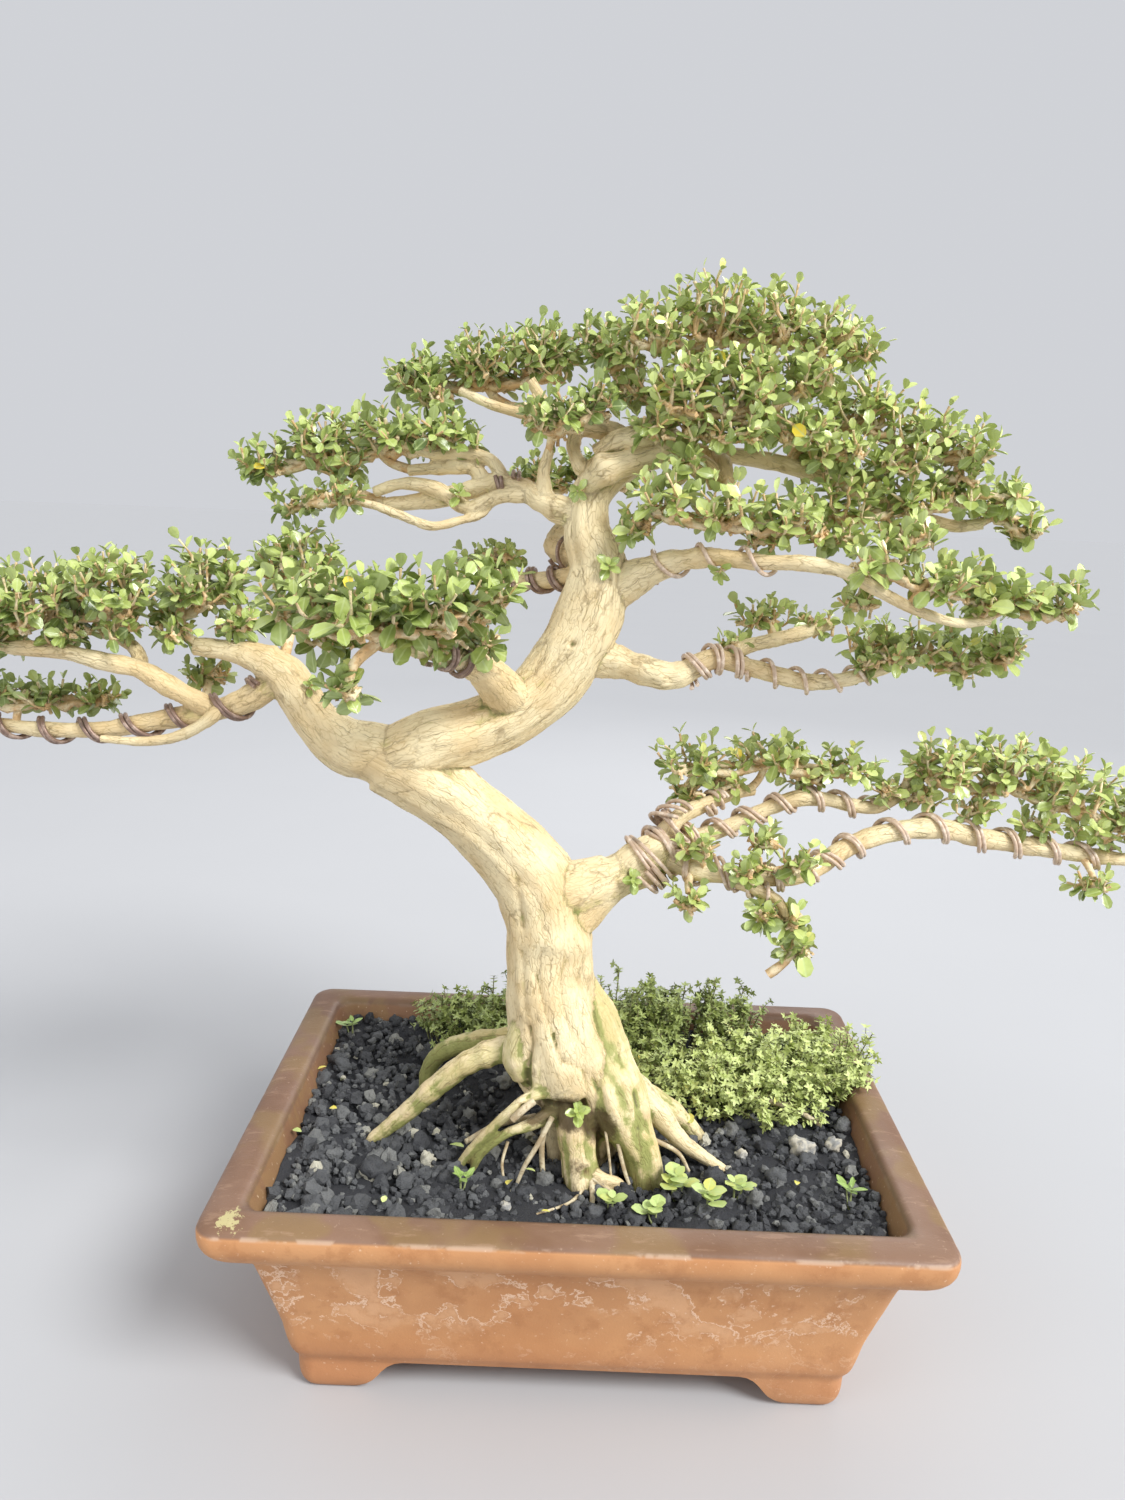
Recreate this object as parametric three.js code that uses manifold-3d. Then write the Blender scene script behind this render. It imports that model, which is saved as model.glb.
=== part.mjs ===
import * as THREE from 'three';
import { mergeVertices } from 'three/addons/utils/BufferGeometryUtils.js';
import Module from 'manifold-3d';

// Premna bonsai in a rectangular terracotta pot: millimetres, +Z up, modelled with the pot's
// centre on the Z axis and the underside of its feet at z = 0, X to the viewer's right and
// Y away from the viewer. The finished group is moved so that the middle of its box is the origin.

const POT = { width: 600, depth: 447, height: 198, floor: 40, corner: 4 };
// Outer wall from the rim's top edge down to the feet: inset from the rim's edge, height, corner radius.
const POT_WALL = [
  [7, 198, 20], [0, 193, 22], [0, 183, 22], [4, 172, 21], [13, 162, 20], [26, 154, 18], [33, 141, 16],
  [40, 117, 15], [49, 82, 14], [54, 58, 14], [58, 43, 13], [64, 32, 12], [65, 10, 12], [69, 0, 12],
];
const POT_CAVITY = [[34, 199, 12], [36, 188, 12], [46, 155, 12], [59, 118, 11], [70, 75, 10], [80, 40, 10]];
const FOOT = { recess: 96, recessTop: 32, onSide: -78 };
const FOOT_ARCH = [[187, -1], [175, 5], [166, 13], [158, 23], [147, 30]];
const DRAIN = { radius: 16, at: [-130, 130], screen: 60, sheet: 1.2, hole: 22 };
const SOIL = { level: 174, rough: 5.5, cell: 31 };
const GAP = 0.35;
const WIRE = { radius: 2, sides: 4, perTurn: 6 };
// Leaves stand on shoots in two crossed pairs: length of the big pair and share of it for the small
// pair, half width, distance of the notch between neighbours, thickness.
const LEAF = { length: 37, small: 0.74, half: 10, notch: 5.4, sheet: 1.4 };
const COVER_LEAF = { length: 25, small: 0.9, half: 6, notch: 4.2, sheet: 1.2 };
const WEED_LEAF = { length: 17, small: 0.7, half: 4.5, notch: 3.2, sheet: 1.2 };
const ROUND_LEAF = { length: 13.5, small: 0.85, half: 5.5, notch: 3.4, sheet: 1.2 };
const TWIG = { radius: 3, hub: 5.5 };
const SHOOT = { reach: 0.6, radius: 2 };

// Grown wood: centre and radius of each branch along its length, base first.
const WOOD = {
  trunk: [
    [6, -62, 110, 52], [0, -60, 185, 55], [-9, -58, 240, 50], [-20, -55, 293, 47], [-28, -50, 334, 42],
    [-33, -45, 384, 38], [-45, -42, 424, 37], [-71, -42, 456, 32], [-105, -45, 489, 29], [-144, -50, 519, 30],
    [-178, -55, 536, 27],
  ],
  leftBranch: [
    [-150, -52, 526, 26], [-180, -55, 540, 26], [-210, -58, 548, 22.5], [-232, -60, 566, 18.5], [-247, -60, 588, 17],
    [-260, -60, 606, 16.5], [-281, -58, 618, 12.5], [-307, -52, 623, 8], [-337, -48, 625, 7],
  ],
  upperTrunk: [
    [-165, -55, 541, 26], [-139, -52, 552, 28], [-98, -45, 564, 26], [-56, -38, 588, 26], [-27, -30, 623, 28],
    [-8, -24, 664, 28], [-2, -18, 699, 25], [-13, -12, 731, 19.5], [-12, -8, 756, 17], [0, -4, 777, 18],
    [22, 0, 795, 18], [45, 4, 805, 16], [63, 8, 804, 10],
  ],
  leftLow: [
    [-262, -60, 606, 12], [-279, -60, 591, 11.5], [-301, -60, 579, 10], [-332, -58, 570, 9], [-371, -54, 561, 8],
    [-412, -48, 552, 7], [-467, -40, 547, 7], [-514, -32, 548, 6], [-556, -26, 549, 4],
  ],
  leftHigh: [
    [-318, -60, 573, 9], [-355, -66, 594, 8.5], [-376, -70, 607, 8], [-407, -74, 614, 7], [-441, -78, 622, 6.5],
    [-477, -80, 623, 5.5], [-505, -80, 626, 4.5],
  ],
  leftHighFork: [[-374, -68, 605, 6], [-386, -50, 620, 5.5], [-407, -35, 628, 5], [-434, -22, 631, 3.8]],
  leftUnder: [[-311, -66, 577, 6], [-322, -80, 566, 5], [-339, -87, 557, 4.5], [-363, -90, 552, 4], [-404, -92, 553, 3]],
  frontLeft: [[-73, -45, 589, 20], [-92, -85, 619, 14], [-109, -115, 634, 10], [-128, -150, 644, 8], [-146, -175, 650, 6.5]],
  thinBack: [[-10, -12, 696, 8], [-53, 20, 685, 7], [-90, 50, 685, 6.4], [-112, 70, 687, 5.5]],
  rearBranch: [[-14, 0, 708, 11], [-40, 38, 712, 10], [-34, 85, 728, 8.4], [-10, 118, 748, 6.3]],
  upperLeft: [
    [-24, -10, 743, 13], [-50, -4, 752, 10], [-70, 2, 764, 8], [-92, 6, 767, 7], [-115, 10, 760, 7.3],
    [-141, 14, 753, 8], [-169, 18, 748, 7], [-190, 20, 745, 6],
  ],
  upperLeftFork: [[-99, 8, 764, 5.5], [-113, 12, 779, 6.8], [-142, 15, 778, 6], [-170, 18, 775, 4.5]],
  upperLeftLoop: [
    [-90, 4, 764, 4], [-101, -8, 743, 3.6], [-122, -14, 735, 3.5], [-144, -18, 730, 3.8], [-172, -14, 738, 3.8],
    [-197, -8, 746, 3.4],
  ],
  centreShoot: [[-48, -4, 751, 7], [-52, -8, 777, 5], [-47, -12, 797, 3.8]],
  topLeft: [[28, 0, 801, 8], [3, 15, 815, 7], [-27, 30, 823, 6], [-67, 45, 829, 5.4], [-90, 51, 834, 5]],
  apex: [[36, 2, 805, 15], [53, 2, 838, 10], [63, 5, 862, 7.5], [72, 8, 882, 6]],
  rightTop: [
    [50, 6, 802, 9.5], [80, 12, 799, 6.8], [115, 18, 797, 7], [159, 22, 791, 7.2], [204, 26, 778, 6.2],
    [251, 30, 761, 5.7], [286, 34, 750, 5.3], [313, 37, 745, 5.3], [336, 38, 748, 4.8],
  ],
  rightTopFork: [[92, 14, 798, 7], [97, -8, 790, 7], [100, -30, 774, 6]],
  rightMiddle: [
    [8, -20, 682, 20], [40, -36, 701, 12.4], [63, -50, 711, 8.5], [90, -62, 715, 7.3], [124, -75, 713, 6.8],
    [157, -85, 714, 6], [187, -92, 709, 5.5], [212, -95, 697, 5], [240, -92, 684, 4.4], [285, -72, 671, 4],
    [318, -56, 672, 3.8],
  ],
  rightLower: [
    [-11, -25, 627, 20], [19, -28, 622, 13], [48, -32, 615, 12], [68, -32, 614, 10.5], [97, -28, 628, 8.5],
    [121, -26, 624, 7.7], [152, -22, 616, 7.3], [180, -18, 610, 7], [206, -14, 611, 6.5], [232, -10, 617, 6],
    [262, -5, 627, 4.8],
  ],
  rightLowerFork: [[104, -22, 627, 7], [128, -8, 637, 6.5], [154, 2, 643, 6.1], [185, 15, 650, 5.7], [206, 24, 656, 5]],
  bottomRight: [[-28, -42, 425, 31], [6, -38, 433, 26], [38, -30, 445, 20.5], [64, -22, 456, 14]],
  bottomRightTop: [[60, -20, 458, 11], [79, -15, 484, 8], [100, -7, 493, 6.8], [122, 4, 500, 6], [148, 12, 505, 5]],
  bottomRightBack: [
    [62, -18, 455, 11], [95, -6, 462, 8], [120, 2, 469, 7.2], [145, 8, 480, 6.8], [165, 12, 489, 6.8],
    [187, 14, 497, 7.2], [212, 17, 497, 6.8], [240, 21, 491, 6.4], [266, 26, 489, 6.2], [284, 28, 500, 5.6],
  ],
  bottomRightFront: [
    [62, -24, 452, 13], [89, -38, 444, 9], [115, -49, 443, 8], [146, -50, 442, 8], [175, -45, 442, 7.5],
    [201, -35, 449, 8], [217, -27, 458, 8.4], [239, -16, 467, 8.5], [264, -8, 473, 9], [290, -2, 477, 9],
    [323, 4, 476, 8.6], [354, 10, 468, 8.7], [386, 14, 463, 8.3], [431, 18, 456, 7.4], [478, 22, 450, 7],
    [523, 26, 447, 5.6], [562, 30, 448, 3.5],
  ],
  hangingTwig: [[122, -52, 440, 6], [144, -62, 435, 5.2], [162, -68, 428, 4.3], [170, -71, 414, 3.6]],
  rootLeft: [
    [-30, -60, 268, 16], [-66, -61, 277, 12], [-100, -60, 265, 10], [-130, -57, 240, 10], [-158, -54, 208, 9],
    [-187, -52, 176, 7], [-198, -51, 162, 4],
  ],
  rootLeftBack: [
    [-38, -40, 266, 14], [-72, -20, 264, 11], [-108, 12, 248, 9], [-136, 42, 216, 7.5], [-152, 60, 180, 6],
    [-156, 66, 164, 4],
  ],
  rootThin: [[-18, -82, 240, 10], [-44, -96, 243, 6.5], [-69, -96, 226, 5.4], [-92, -88, 192, 4.6], [-100, -84, 166, 4]],
  rootFront: [[-6, -75, 244, 24], [-4, -92, 212, 19], [2, -106, 186, 15], [6, -112, 162, 12]],
  rootFrontToe: [[2, -104, 190, 10], [14, -116, 178, 7], [22, -124, 164, 5]],
  rootRight: [[15, -65, 254, 33], [41, -78, 226, 27], [54, -88, 198, 22], [60, -92, 160, 20]],
  rootRightLong: [[40, -55, 244, 16], [68, -62, 222, 11], [92, -70, 200, 7.6], [128, -79, 178, 5], [144, -83, 166, 4]],
  rootRightBack: [[16, -42, 250, 22], [58, -32, 220, 14], [96, -24, 192, 9], [120, -18, 164, 7]],
  rootRear: [[-18, -40, 262, 26], [-26, 4, 236, 18], [-38, 40, 204, 13], [-48, 66, 164, 9]],
};

// Pruning scars and burrs on the wood: centre and radius.
const BURRS = [
  [2, -84, 345, 17], [-26, -48, 636, 10], [56, -34, 612, 12], [-78, -72, 472, 15], [-20, -34, 452, 20],
];

// Wire wound on the branches: which branch, the stretch of it as fractions of its length, turns and
// start angle.
const WIRES = {
  wireLeftLow: ['leftLow', 0.3, 0.93, 4.8, 0.4],
  wireFrontLeft: ['frontLeft', 0.56, 0.8, 2, 0.2],
  wireThinBack: ['thinBack', 0.34, 0.78, 3, 0],
  wireRear: ['rearBranch', 0.36, 0.68, 3, 0.5],
  wireUpperLeft: ['upperLeft', 0.31, 0.43, 1.5, 0.5],
  wireRightMiddle: ['rightMiddle', 0.12, 0.42, 3, 2.2],
  wireRightLower: ['rightLower', 0.55, 0.9, 3.6, 0.3],
  wireBottomRight: ['bottomRight', 0.66, 0.9, 2.4, 0],
  wireBottomRightBack: ['bottomRightBack', 0.24, 0.88, 5.4, 0],
  wireBottomRightFront: ['bottomRightFront', 0.17, 0.38, 3.5, 1],
  wireBottomRightEnd: ['bottomRightFront', 0.4, 0.86, 5.6, 0.5],
};

// Foliage sprays: the leafy stem's paths (centre and radius, from inside the wood outward) and the
// pads of lobes, from one to the next, that its leaves fill (centre, then half sizes along X, Y and Z).
const SPRAYS = {
  sprayLeftFar: {
    stems: [[[-498, -80, 625, 4.4], [-512, -72, 640, 4], [-512, -62, 656, 4]]],
    pads: [[[-520, -60, 656, 40, 54, 33], [-455, -72, 664, 43, 58, 35], [-396, -68, 676, 36, 52, 40]]],
  },
  sprayLeftMiddle: {
    stems: [[[-330, -48, 625, 5], [-345, -48, 634, 4.5], [-350, -48, 660, 4]]],
    pads: [[[-326, -46, 683, 40, 46, 36], [-366, -20, 655, 22, 26, 22]]],
  },
  sprayLeftRear: {
    stems: [[[-262, -54, 616, 5], [-262, -30, 640, 5], [-262, -4, 690, 4]]],
    pads: [[[-262, 2, 698, 40, 44, 34]]],
  },
  sprayLeftLow: {
    stems: [[[-500, -34, 547, 4], [-497, -30, 566, 4], [-490, -28, 578, 4]]],
    pads: [[[-524, -34, 578, 30, 30, 17], [-478, -26, 577, 30, 26, 15], [-434, -18, 576, 28, 22, 12]]],
  },
  sprayLeftInner: {
    stems: [[[-332, -58, 570, 4], [-334, -34, 580, 4], [-338, -16, 596, 3.5]]],
    pads: [[[-338, -12, 600, 27, 22, 14]]],
  },
  sprayFrontLeft: {
    stems: [
      [[-142, -172, 649, 5.5], [-160, -196, 655, 5], [-166, -204, 678, 4.5]],
      [[-158, -194, 655, 5], [-173, -207, 640, 4.5], [-177, -210, 622, 4]],
    ],
    pads: [
      [
        [-214, -188, 681, 34, 45, 31], [-166, -208, 682, 36, 50, 32], [-118, -192, 686, 37, 48, 35],
        [-80, -166, 697, 23, 28, 16],
      ],
      [[-180, -210, 626, 15, 13, 12]],
    ],
  },
  sprayThinBack: {
    stems: [[[-108, 67, 687, 4.5], [-116, 78, 690, 4], [-120, 86, 696, 3.5]]],
    pads: [[[-110, 84, 699, 28, 26, 17]]],
  },
  sprayRear: {
    stems: [[[-14, 112, 745, 5], [-2, 128, 758, 4.5], [4, 138, 776, 4]]],
    pads: [[[6, 146, 786, 46, 40, 28], [-58, 140, 778, 36, 34, 22]]],
  },
  sprayUpperLeft: {
    stems: [
      [[-184, 20, 745, 5], [-212, 22, 754, 4.5], [-243, 27, 774, 4], [-280, 32, 778, 3.5]],
      [[-165, 18, 775, 4.2], [-186, 19, 782, 4], [-200, 20, 796, 3.5]],
    ],
    pads: [[
      [-296, 34, 781, 29, 30, 20], [-244, 30, 799, 35, 42, 32], [-188, 20, 806, 38, 46, 27],
      [-138, 12, 808, 34, 42, 20],
    ]],
  },
  sprayUpperLeftLow: {
    stems: [[[-190, -9, 744, 3.4], [-212, -6, 748, 3.4], [-240, 4, 750, 3]]],
    pads: [[[-258, 8, 750, 30, 18, 10], [-218, -14, 756, 20, 14, 10]]],
  },
  sprayTopLeft: {
    stems: [[[-85, 50, 833, 4.6], [-100, 54, 842, 4.2], [-112, 56, 862, 4]]],
    pads: [[[-166, 62, 860, 33, 38, 23], [-109, 56, 870, 40, 46, 34], [-52, 46, 880, 34, 46, 34]]],
  },
  sprayTopMiddle: {
    stems: [[[0, 16, 816, 5], [-8, 22, 834, 4.5], [-8, 25, 870, 4]]],
    pads: [[[-6, 26, 884, 26, 40, 29]]],
  },
  sprayCentre: {
    stems: [[[-48, -11, 793, 3.8], [-46, -18, 804, 3.8], [-44, -26, 818, 3.5]]],
    pads: [[[-44, -34, 824, 34, 34, 25], [-10, -34, 838, 20, 22, 18]]],
  },
  sprayApex: {
    stems: [[[70, 7, 877, 5.5], [78, 9, 893, 5], [86, 10, 908, 4]]],
    pads: [[
      [36, -16, 896, 32, 42, 29], [85, 10, 912, 40, 56, 38], [134, 5, 908, 37, 50, 31], [184, -4, 901, 28, 34, 20],
    ]],
  },
  sprayApexFront: {
    stems: [[[58, 2, 848, 5], [66, -22, 850, 4.5], [80, -34, 850, 4]]],
    pads: [[[58, -44, 843, 32, 40, 26], [112, -40, 846, 36, 42, 30], [160, -32, 862, 26, 34, 24]]],
  },
  sprayRightUpper: {
    stems: [[[159, 22, 792, 5], [164, 20, 806, 4.5], [176, 16, 822, 4]]],
    pads: [[[172, 18, 824, 27, 38, 18], [214, 16, 846, 36, 44, 32], [259, 8, 824, 37, 42, 30], [303, 2, 812, 28, 32, 21]]],
  },
  sprayRightMiddle: {
    stems: [[[200, 26, 779, 4.6], [202, 4, 776, 4.4], [204, -18, 768, 4]]],
    pads: [[[190, -18, 765, 40, 34, 26], [250, -8, 770, 36, 30, 24], [300, 4, 776, 30, 26, 19]]],
  },
  sprayRightTip: {
    stems: [[[331, 38, 747, 4.2], [346, 38, 755, 4], [368, 39, 752, 3.5]]],
    pads: [[[342, 34, 768, 26, 30, 18], [374, 38, 750, 23, 26, 20]]],
  },
  sprayRightCentre: {
    stems: [[[99, -26, 777, 5], [100, -44, 766, 4.5], [98, -60, 758, 4]]],
    pads: [[[46, -54, 762, 29, 34, 27], [96, -66, 756, 36, 42, 27], [144, -66, 754, 26, 34, 24]]],
  },
  sprayMiddleEnd: {
    stems: [[[240, -92, 684, 3.8], [246, -92, 694, 3.6], [254, -86, 704, 3.4]]],
    pads: [[[212, -94, 724, 30, 34, 19], [262, -82, 708, 34, 38, 22]]],
  },
  sprayMiddleTip: {
    stems: [[[313, -58, 672, 3.6], [328, -52, 680, 3.4], [352, -44, 690, 3.2]]],
    pads: [[[326, -52, 694, 31, 34, 19], [384, -40, 692, 23, 28, 28]]],
  },
  sprayLowerEnd: {
    stems: [[[257, -6, 626, 4.4], [272, -2, 634, 4.2], [292, 4, 642, 4]]],
    pads: [[[240, 6, 650, 30, 32, 20], [292, 5, 646, 40, 40, 26], [346, 5, 642, 30, 30, 20]]],
  },
  sprayLowerFork: {
    stems: [[[154, 2, 643, 4.5], [152, 16, 652, 4], [148, 24, 660, 3.6]]],
    pads: [[[146, 26, 664, 33, 24, 17]]],
  },
  sprayBottomLeft: {
    stems: [[[143, 11, 504, 4.5], [152, 14, 514, 4], [158, 15, 530, 3.8]]],
    pads: [[[88, -4, 536, 33, 32, 23], [160, 15, 540, 40, 36, 21], [226, 22, 530, 37, 32, 18]]],
  },
  sprayBottomFar: {
    stems: [[[281, 28, 497, 5], [290, 28, 510, 4.8], [296, 27, 530, 4.5], [316, 26, 540, 4]]],
    pads: [[
      [322, 26, 532, 38, 44, 33], [383, 28, 533, 43, 50, 36], [441, 28, 516, 40, 46, 37], [502, 30, 494, 38, 40, 30],
      [558, 32, 484, 30, 32, 24],
    ]],
  },
  sprayBottomInner: {
    stems: [[[175, -45, 442, 4.5], [180, -58, 452, 4], [176, -66, 462, 3.6]]],
    pads: [[[172, -68, 466, 34, 20, 14]]],
  },
  sprayBottomUnder: {
    stems: [[[455, 20, 453, 4.5], [460, 8, 442, 4], [462, 4, 436, 3.6]]],
    pads: [[[462, 4, 433, 25, 18, 13]]],
  },
  sprayHanging: {
    stems: [[[169, -71, 417, 3.4], [176, -72, 400, 3.4], [178, -73, 384, 3.2], [166, -75, 366, 3]]],
    pads: [[[168, -72, 414, 16, 16, 14]], [[178, -74, 386, 24, 22, 21]]],
  },
  sprayHangingSmall: {
    stems: [[[89, -38, 444, 4], [86, -56, 436, 3.6], [86, -64, 430, 3.2]]],
    pads: [[[86, -66, 428, 18, 14, 13]]],
  },
};

// Fine ground cover, in dense tufts, each on one stem in the soil.
const COVER = {
  groundCoverLeft: {
    stems: [[[-105, 138, 156, 5], [-105, 138, 180, 5], [-106, 138, 200, 4]]],
    pads: [[[-104, 136, 204, 42, 32, 22], [-148, 142, 208, 24, 24, 18], [-74, 122, 222, 24, 24, 22]]],
  },
  groundCoverRear: {
    stems: [[[104, 140, 156, 5], [104, 140, 180, 5], [106, 140, 212, 4]]],
    pads: [[[56, 124, 216, 34, 26, 32], [112, 140, 214, 44, 30, 30], [166, 146, 216, 30, 24, 24]]],
  },
  groundCoverRight: {
    stems: [[[186, 50, 156, 5], [186, 50, 180, 5], [186, 50, 196, 4]]],
    pads: [[
      [98, 50, 202, 38, 34, 19], [160, 52, 206, 42, 38, 24], [220, 48, 206, 40, 40, 24], [262, 58, 220, 26, 30, 18],
    ]],
  },
};

// Seedlings and weeds: foot on the soil, stem height, number of shoots, leaf and size.
const SEEDLINGS = {
  seedlingA: [29, -149, 14, 1, ROUND_LEAF, 0.8],
  seedlingB: [65, -156, 14, 1, ROUND_LEAF, 0.8],
  seedlingC: [84, -118, 20, 1, ROUND_LEAF, 1.1],
  seedlingD: [110, -134, 18, 1, ROUND_LEAF, 1.1],
  seedlingE: [136, -116, 14, 1, ROUND_LEAF, 0.8],
  weedLeft: [-100, -126, 12, 1, WEED_LEAF, 1],
  weedRight: [234, -123, 14, 1, WEED_LEAF, 1.1],
  weedCorner: [-246, 150, 12, 1, WEED_LEAF, 1],
};

const COLOURS = {
  pot: [0xa86a48, 0.8], screen: [0x2f332f, 0.7], soil: [0x33353a, 0.95], wood: [0xd9c59a, 0.75],
  wire: [0x6b5a52, 0.45], leaf: [0x5f8a35, 0.4], cover: [0x7f9a4a, 0.6], seedling: [0x96b45a, 0.5],
};

const wasm = await Module();
wasm.setup();

// Repeatable random numbers between 0 and 1.
function random(seed) {
  let state = seed * 7919 + 17;
  return () => {
    state = (state * 1664525 + 1013904223) % 4294967296;
    return state / 4294967296;
  };
}

// A closed solid from a geometry, its faces turned outward.
function solid(geometry) {
  geometry.deleteAttribute('normal');
  geometry.deleteAttribute('uv');
  const merged = mergeVertices(geometry, 1e-4);
  const position = merged.attributes.position;
  const index = Array.from(merged.index.array);
  const corner = k => new THREE.Vector3().fromBufferAttribute(position, index[k]);
  let volume = 0;
  for (let k = 0; k < index.length; k += 3) volume += corner(k).dot(corner(k + 1).cross(corner(k + 2)));
  const triVerts = [];
  for (let k = 0; k < index.length; k += 3) {
    const [a, b, c] = [index[k], index[k + 1], index[k + 2]];
    if (a !== b && b !== c && c !== a) triVerts.push(a, volume > 0 ? b : c, volume > 0 ? c : b);
  }
  return new wasm.Manifold(new wasm.Mesh({
    numProp: 3, vertProperties: new Float32Array(position.array), triVerts: new Uint32Array(triVerts),
  }));
}

function union(solids) {
  return solids.reduce((sum, next) => sum.add(next));
}

// The largest body of a solid: scraps that a cut leaves loose are dropped.
function largest(body) {
  return body.decompose().reduce((a, b) => (b.volume() > a.volume() ? b : a));
}

// A closed stack of rings: corner i of ring j stands at place(j, i), with both ends filled.
function rings(count, sides, place) {
  const geometry = new THREE.CylinderGeometry(1, 1, 1, sides, count - 1);
  const position = geometry.attributes.position;
  const centres = [0, count - 1].map(j => {
    const sum = new THREE.Vector3();
    for (let i = 0; i < sides; i++) sum.add(place(j, i));
    return sum.divideScalar(sides);
  });
  for (let k = 0; k < position.count; k++) {
    const [x, y, z] = [position.getX(k), position.getY(k), position.getZ(k)];
    const j = Math.round((0.5 - y) * (count - 1));
    const i = (Math.round(Math.atan2(x, z) / (2 * Math.PI) * sides) + sides) % sides;
    const at = Math.hypot(x, z) < 0.5 ? centres[j ? 1 : 0] : place(j, i);
    position.setXYZ(k, at.x, at.y, at.z);
  }
  return geometry;
}

// Centre line of a branch, with its radius at any fraction of the length.
class Branch {
  constructor(points) {
    this.points = points;
    this.curve = new THREE.CatmullRomCurve3(
      points.map(([x, y, z]) => new THREE.Vector3(x, y, z)), false, 'centripetal');
    this.curve.arcLengthDivisions = 400;
    this.length = this.curve.getLength();
    this.frames = this.curve.computeFrenetFrames(240, false);
  }

  radius(u) {
    const t = this.curve.getUtoTmapping(u) * (this.points.length - 1);
    const k = Math.min(Math.floor(t), this.points.length - 2);
    return THREE.MathUtils.lerp(this.points[k][3], this.points[k + 1][3], t - k);
  }

  // Where the rings stand along the branch, closer together where it is thin.
  stops() {
    const total = [0];
    for (let k = 0; k < 240; k++) {
      total.push(total[k] + this.length / 240 / (19 + 1.4 * this.radius((k + 0.5) / 240)));
    }
    const steps = Math.max(1, Math.round(total[240]));
    return Array.from({ length: steps + 1 }, (_, j) => {
      const k = total.findIndex(sum => sum >= total[240] * j / steps - 1e-9);
      return k / 240;
    });
  }

  // The point at a fraction of the length, an angle round the centre line and a distance from it.
  around(u, angle, distance) {
    const k = Math.round(u * 240);
    return this.curve.getPointAt(u)
      .addScaledVector(this.frames.normals[k], Math.cos(angle) * distance)
      .addScaledVector(this.frames.binormals[k], Math.sin(angle) * distance);
  }
}

// A tapering branch, its surface moved out by grow, with low swellings along the thick ones.
function limb(points, grow = 0) {
  const branch = new Branch(points);
  const thick = branch.radius(0.5);
  const sides = thick > 25 ? 10 : thick > 12 ? 7 : thick > 7.5 ? 6 : thick > 3.8 ? 5 : 4;
  const stops = branch.stops();
  const steps = stops.length - 1;
  return solid(rings(steps + 1, sides, (j, i) => {
    const u = stops[j];
    const angle = 2 * Math.PI * i / sides;
    const swelling = 1 + Math.min(0.05, thick / 500) * Math.sin(3 * angle + 7 * u + points[0][0]);
    const at = branch.around(u, angle, branch.radius(u) * swelling + grow);
    const end = j === 0 ? -grow : j === steps ? grow : 0;
    return at.addScaledVector(branch.frames.tangents[Math.round(u * 240)], end);
  }));
}

function lump([x, y, z, rx, ry = rx, rz = rx], turn, grow = 0) {
  const geometry = new THREE.IcosahedronGeometry(1, 0);
  geometry.rotateZ(turn).scale(rx + grow, ry + grow, rz + grow).translate(x, y, z);
  return solid(geometry);
}

function wood(grow) {
  const limbs = Object.values(WOOD).map(points => limb(points, grow));
  return union(limbs.concat(BURRS.map((burr, k) => lump([burr[0], burr[1], burr[2], burr[3]], k, grow))));
}

// A wire wound as a helix on a branch, clear of its bark.
class Coil extends THREE.Curve {
  constructor([name, from, to, turns, start]) {
    super();
    Object.assign(this, { branch: new Branch(WOOD[name]), from, to, turns, start });
  }

  getPoint(t, target = new THREE.Vector3()) {
    const u = this.from + (this.to - this.from) * t;
    const clear = (this.branch.radius(u) * 1.03 + 1.5 * GAP + WIRE.radius) / Math.cos(Math.PI / WIRE.perTurn);
    return target.copy(this.branch.around(u, this.start + 2 * Math.PI * this.turns * t, clear));
  }
}

function wire(spec, grow = 0) {
  const section = new THREE.Shape();
  for (let i = 0; i < WIRE.sides; i++) {
    const angle = 2 * Math.PI * i / WIRE.sides;
    const [x, y] = [Math.cos(angle), Math.sin(angle)].map(v => v * (WIRE.radius + grow));
    if (i) section.lineTo(x, y);
    else section.moveTo(x, y);
  }
  const extrudePath = new Coil(spec);
  const steps = Math.round(extrudePath.turns * WIRE.perTurn);
  return solid(new THREE.ExtrudeGeometry(section, { steps, extrudePath, bevelEnabled: false }));
}

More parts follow.
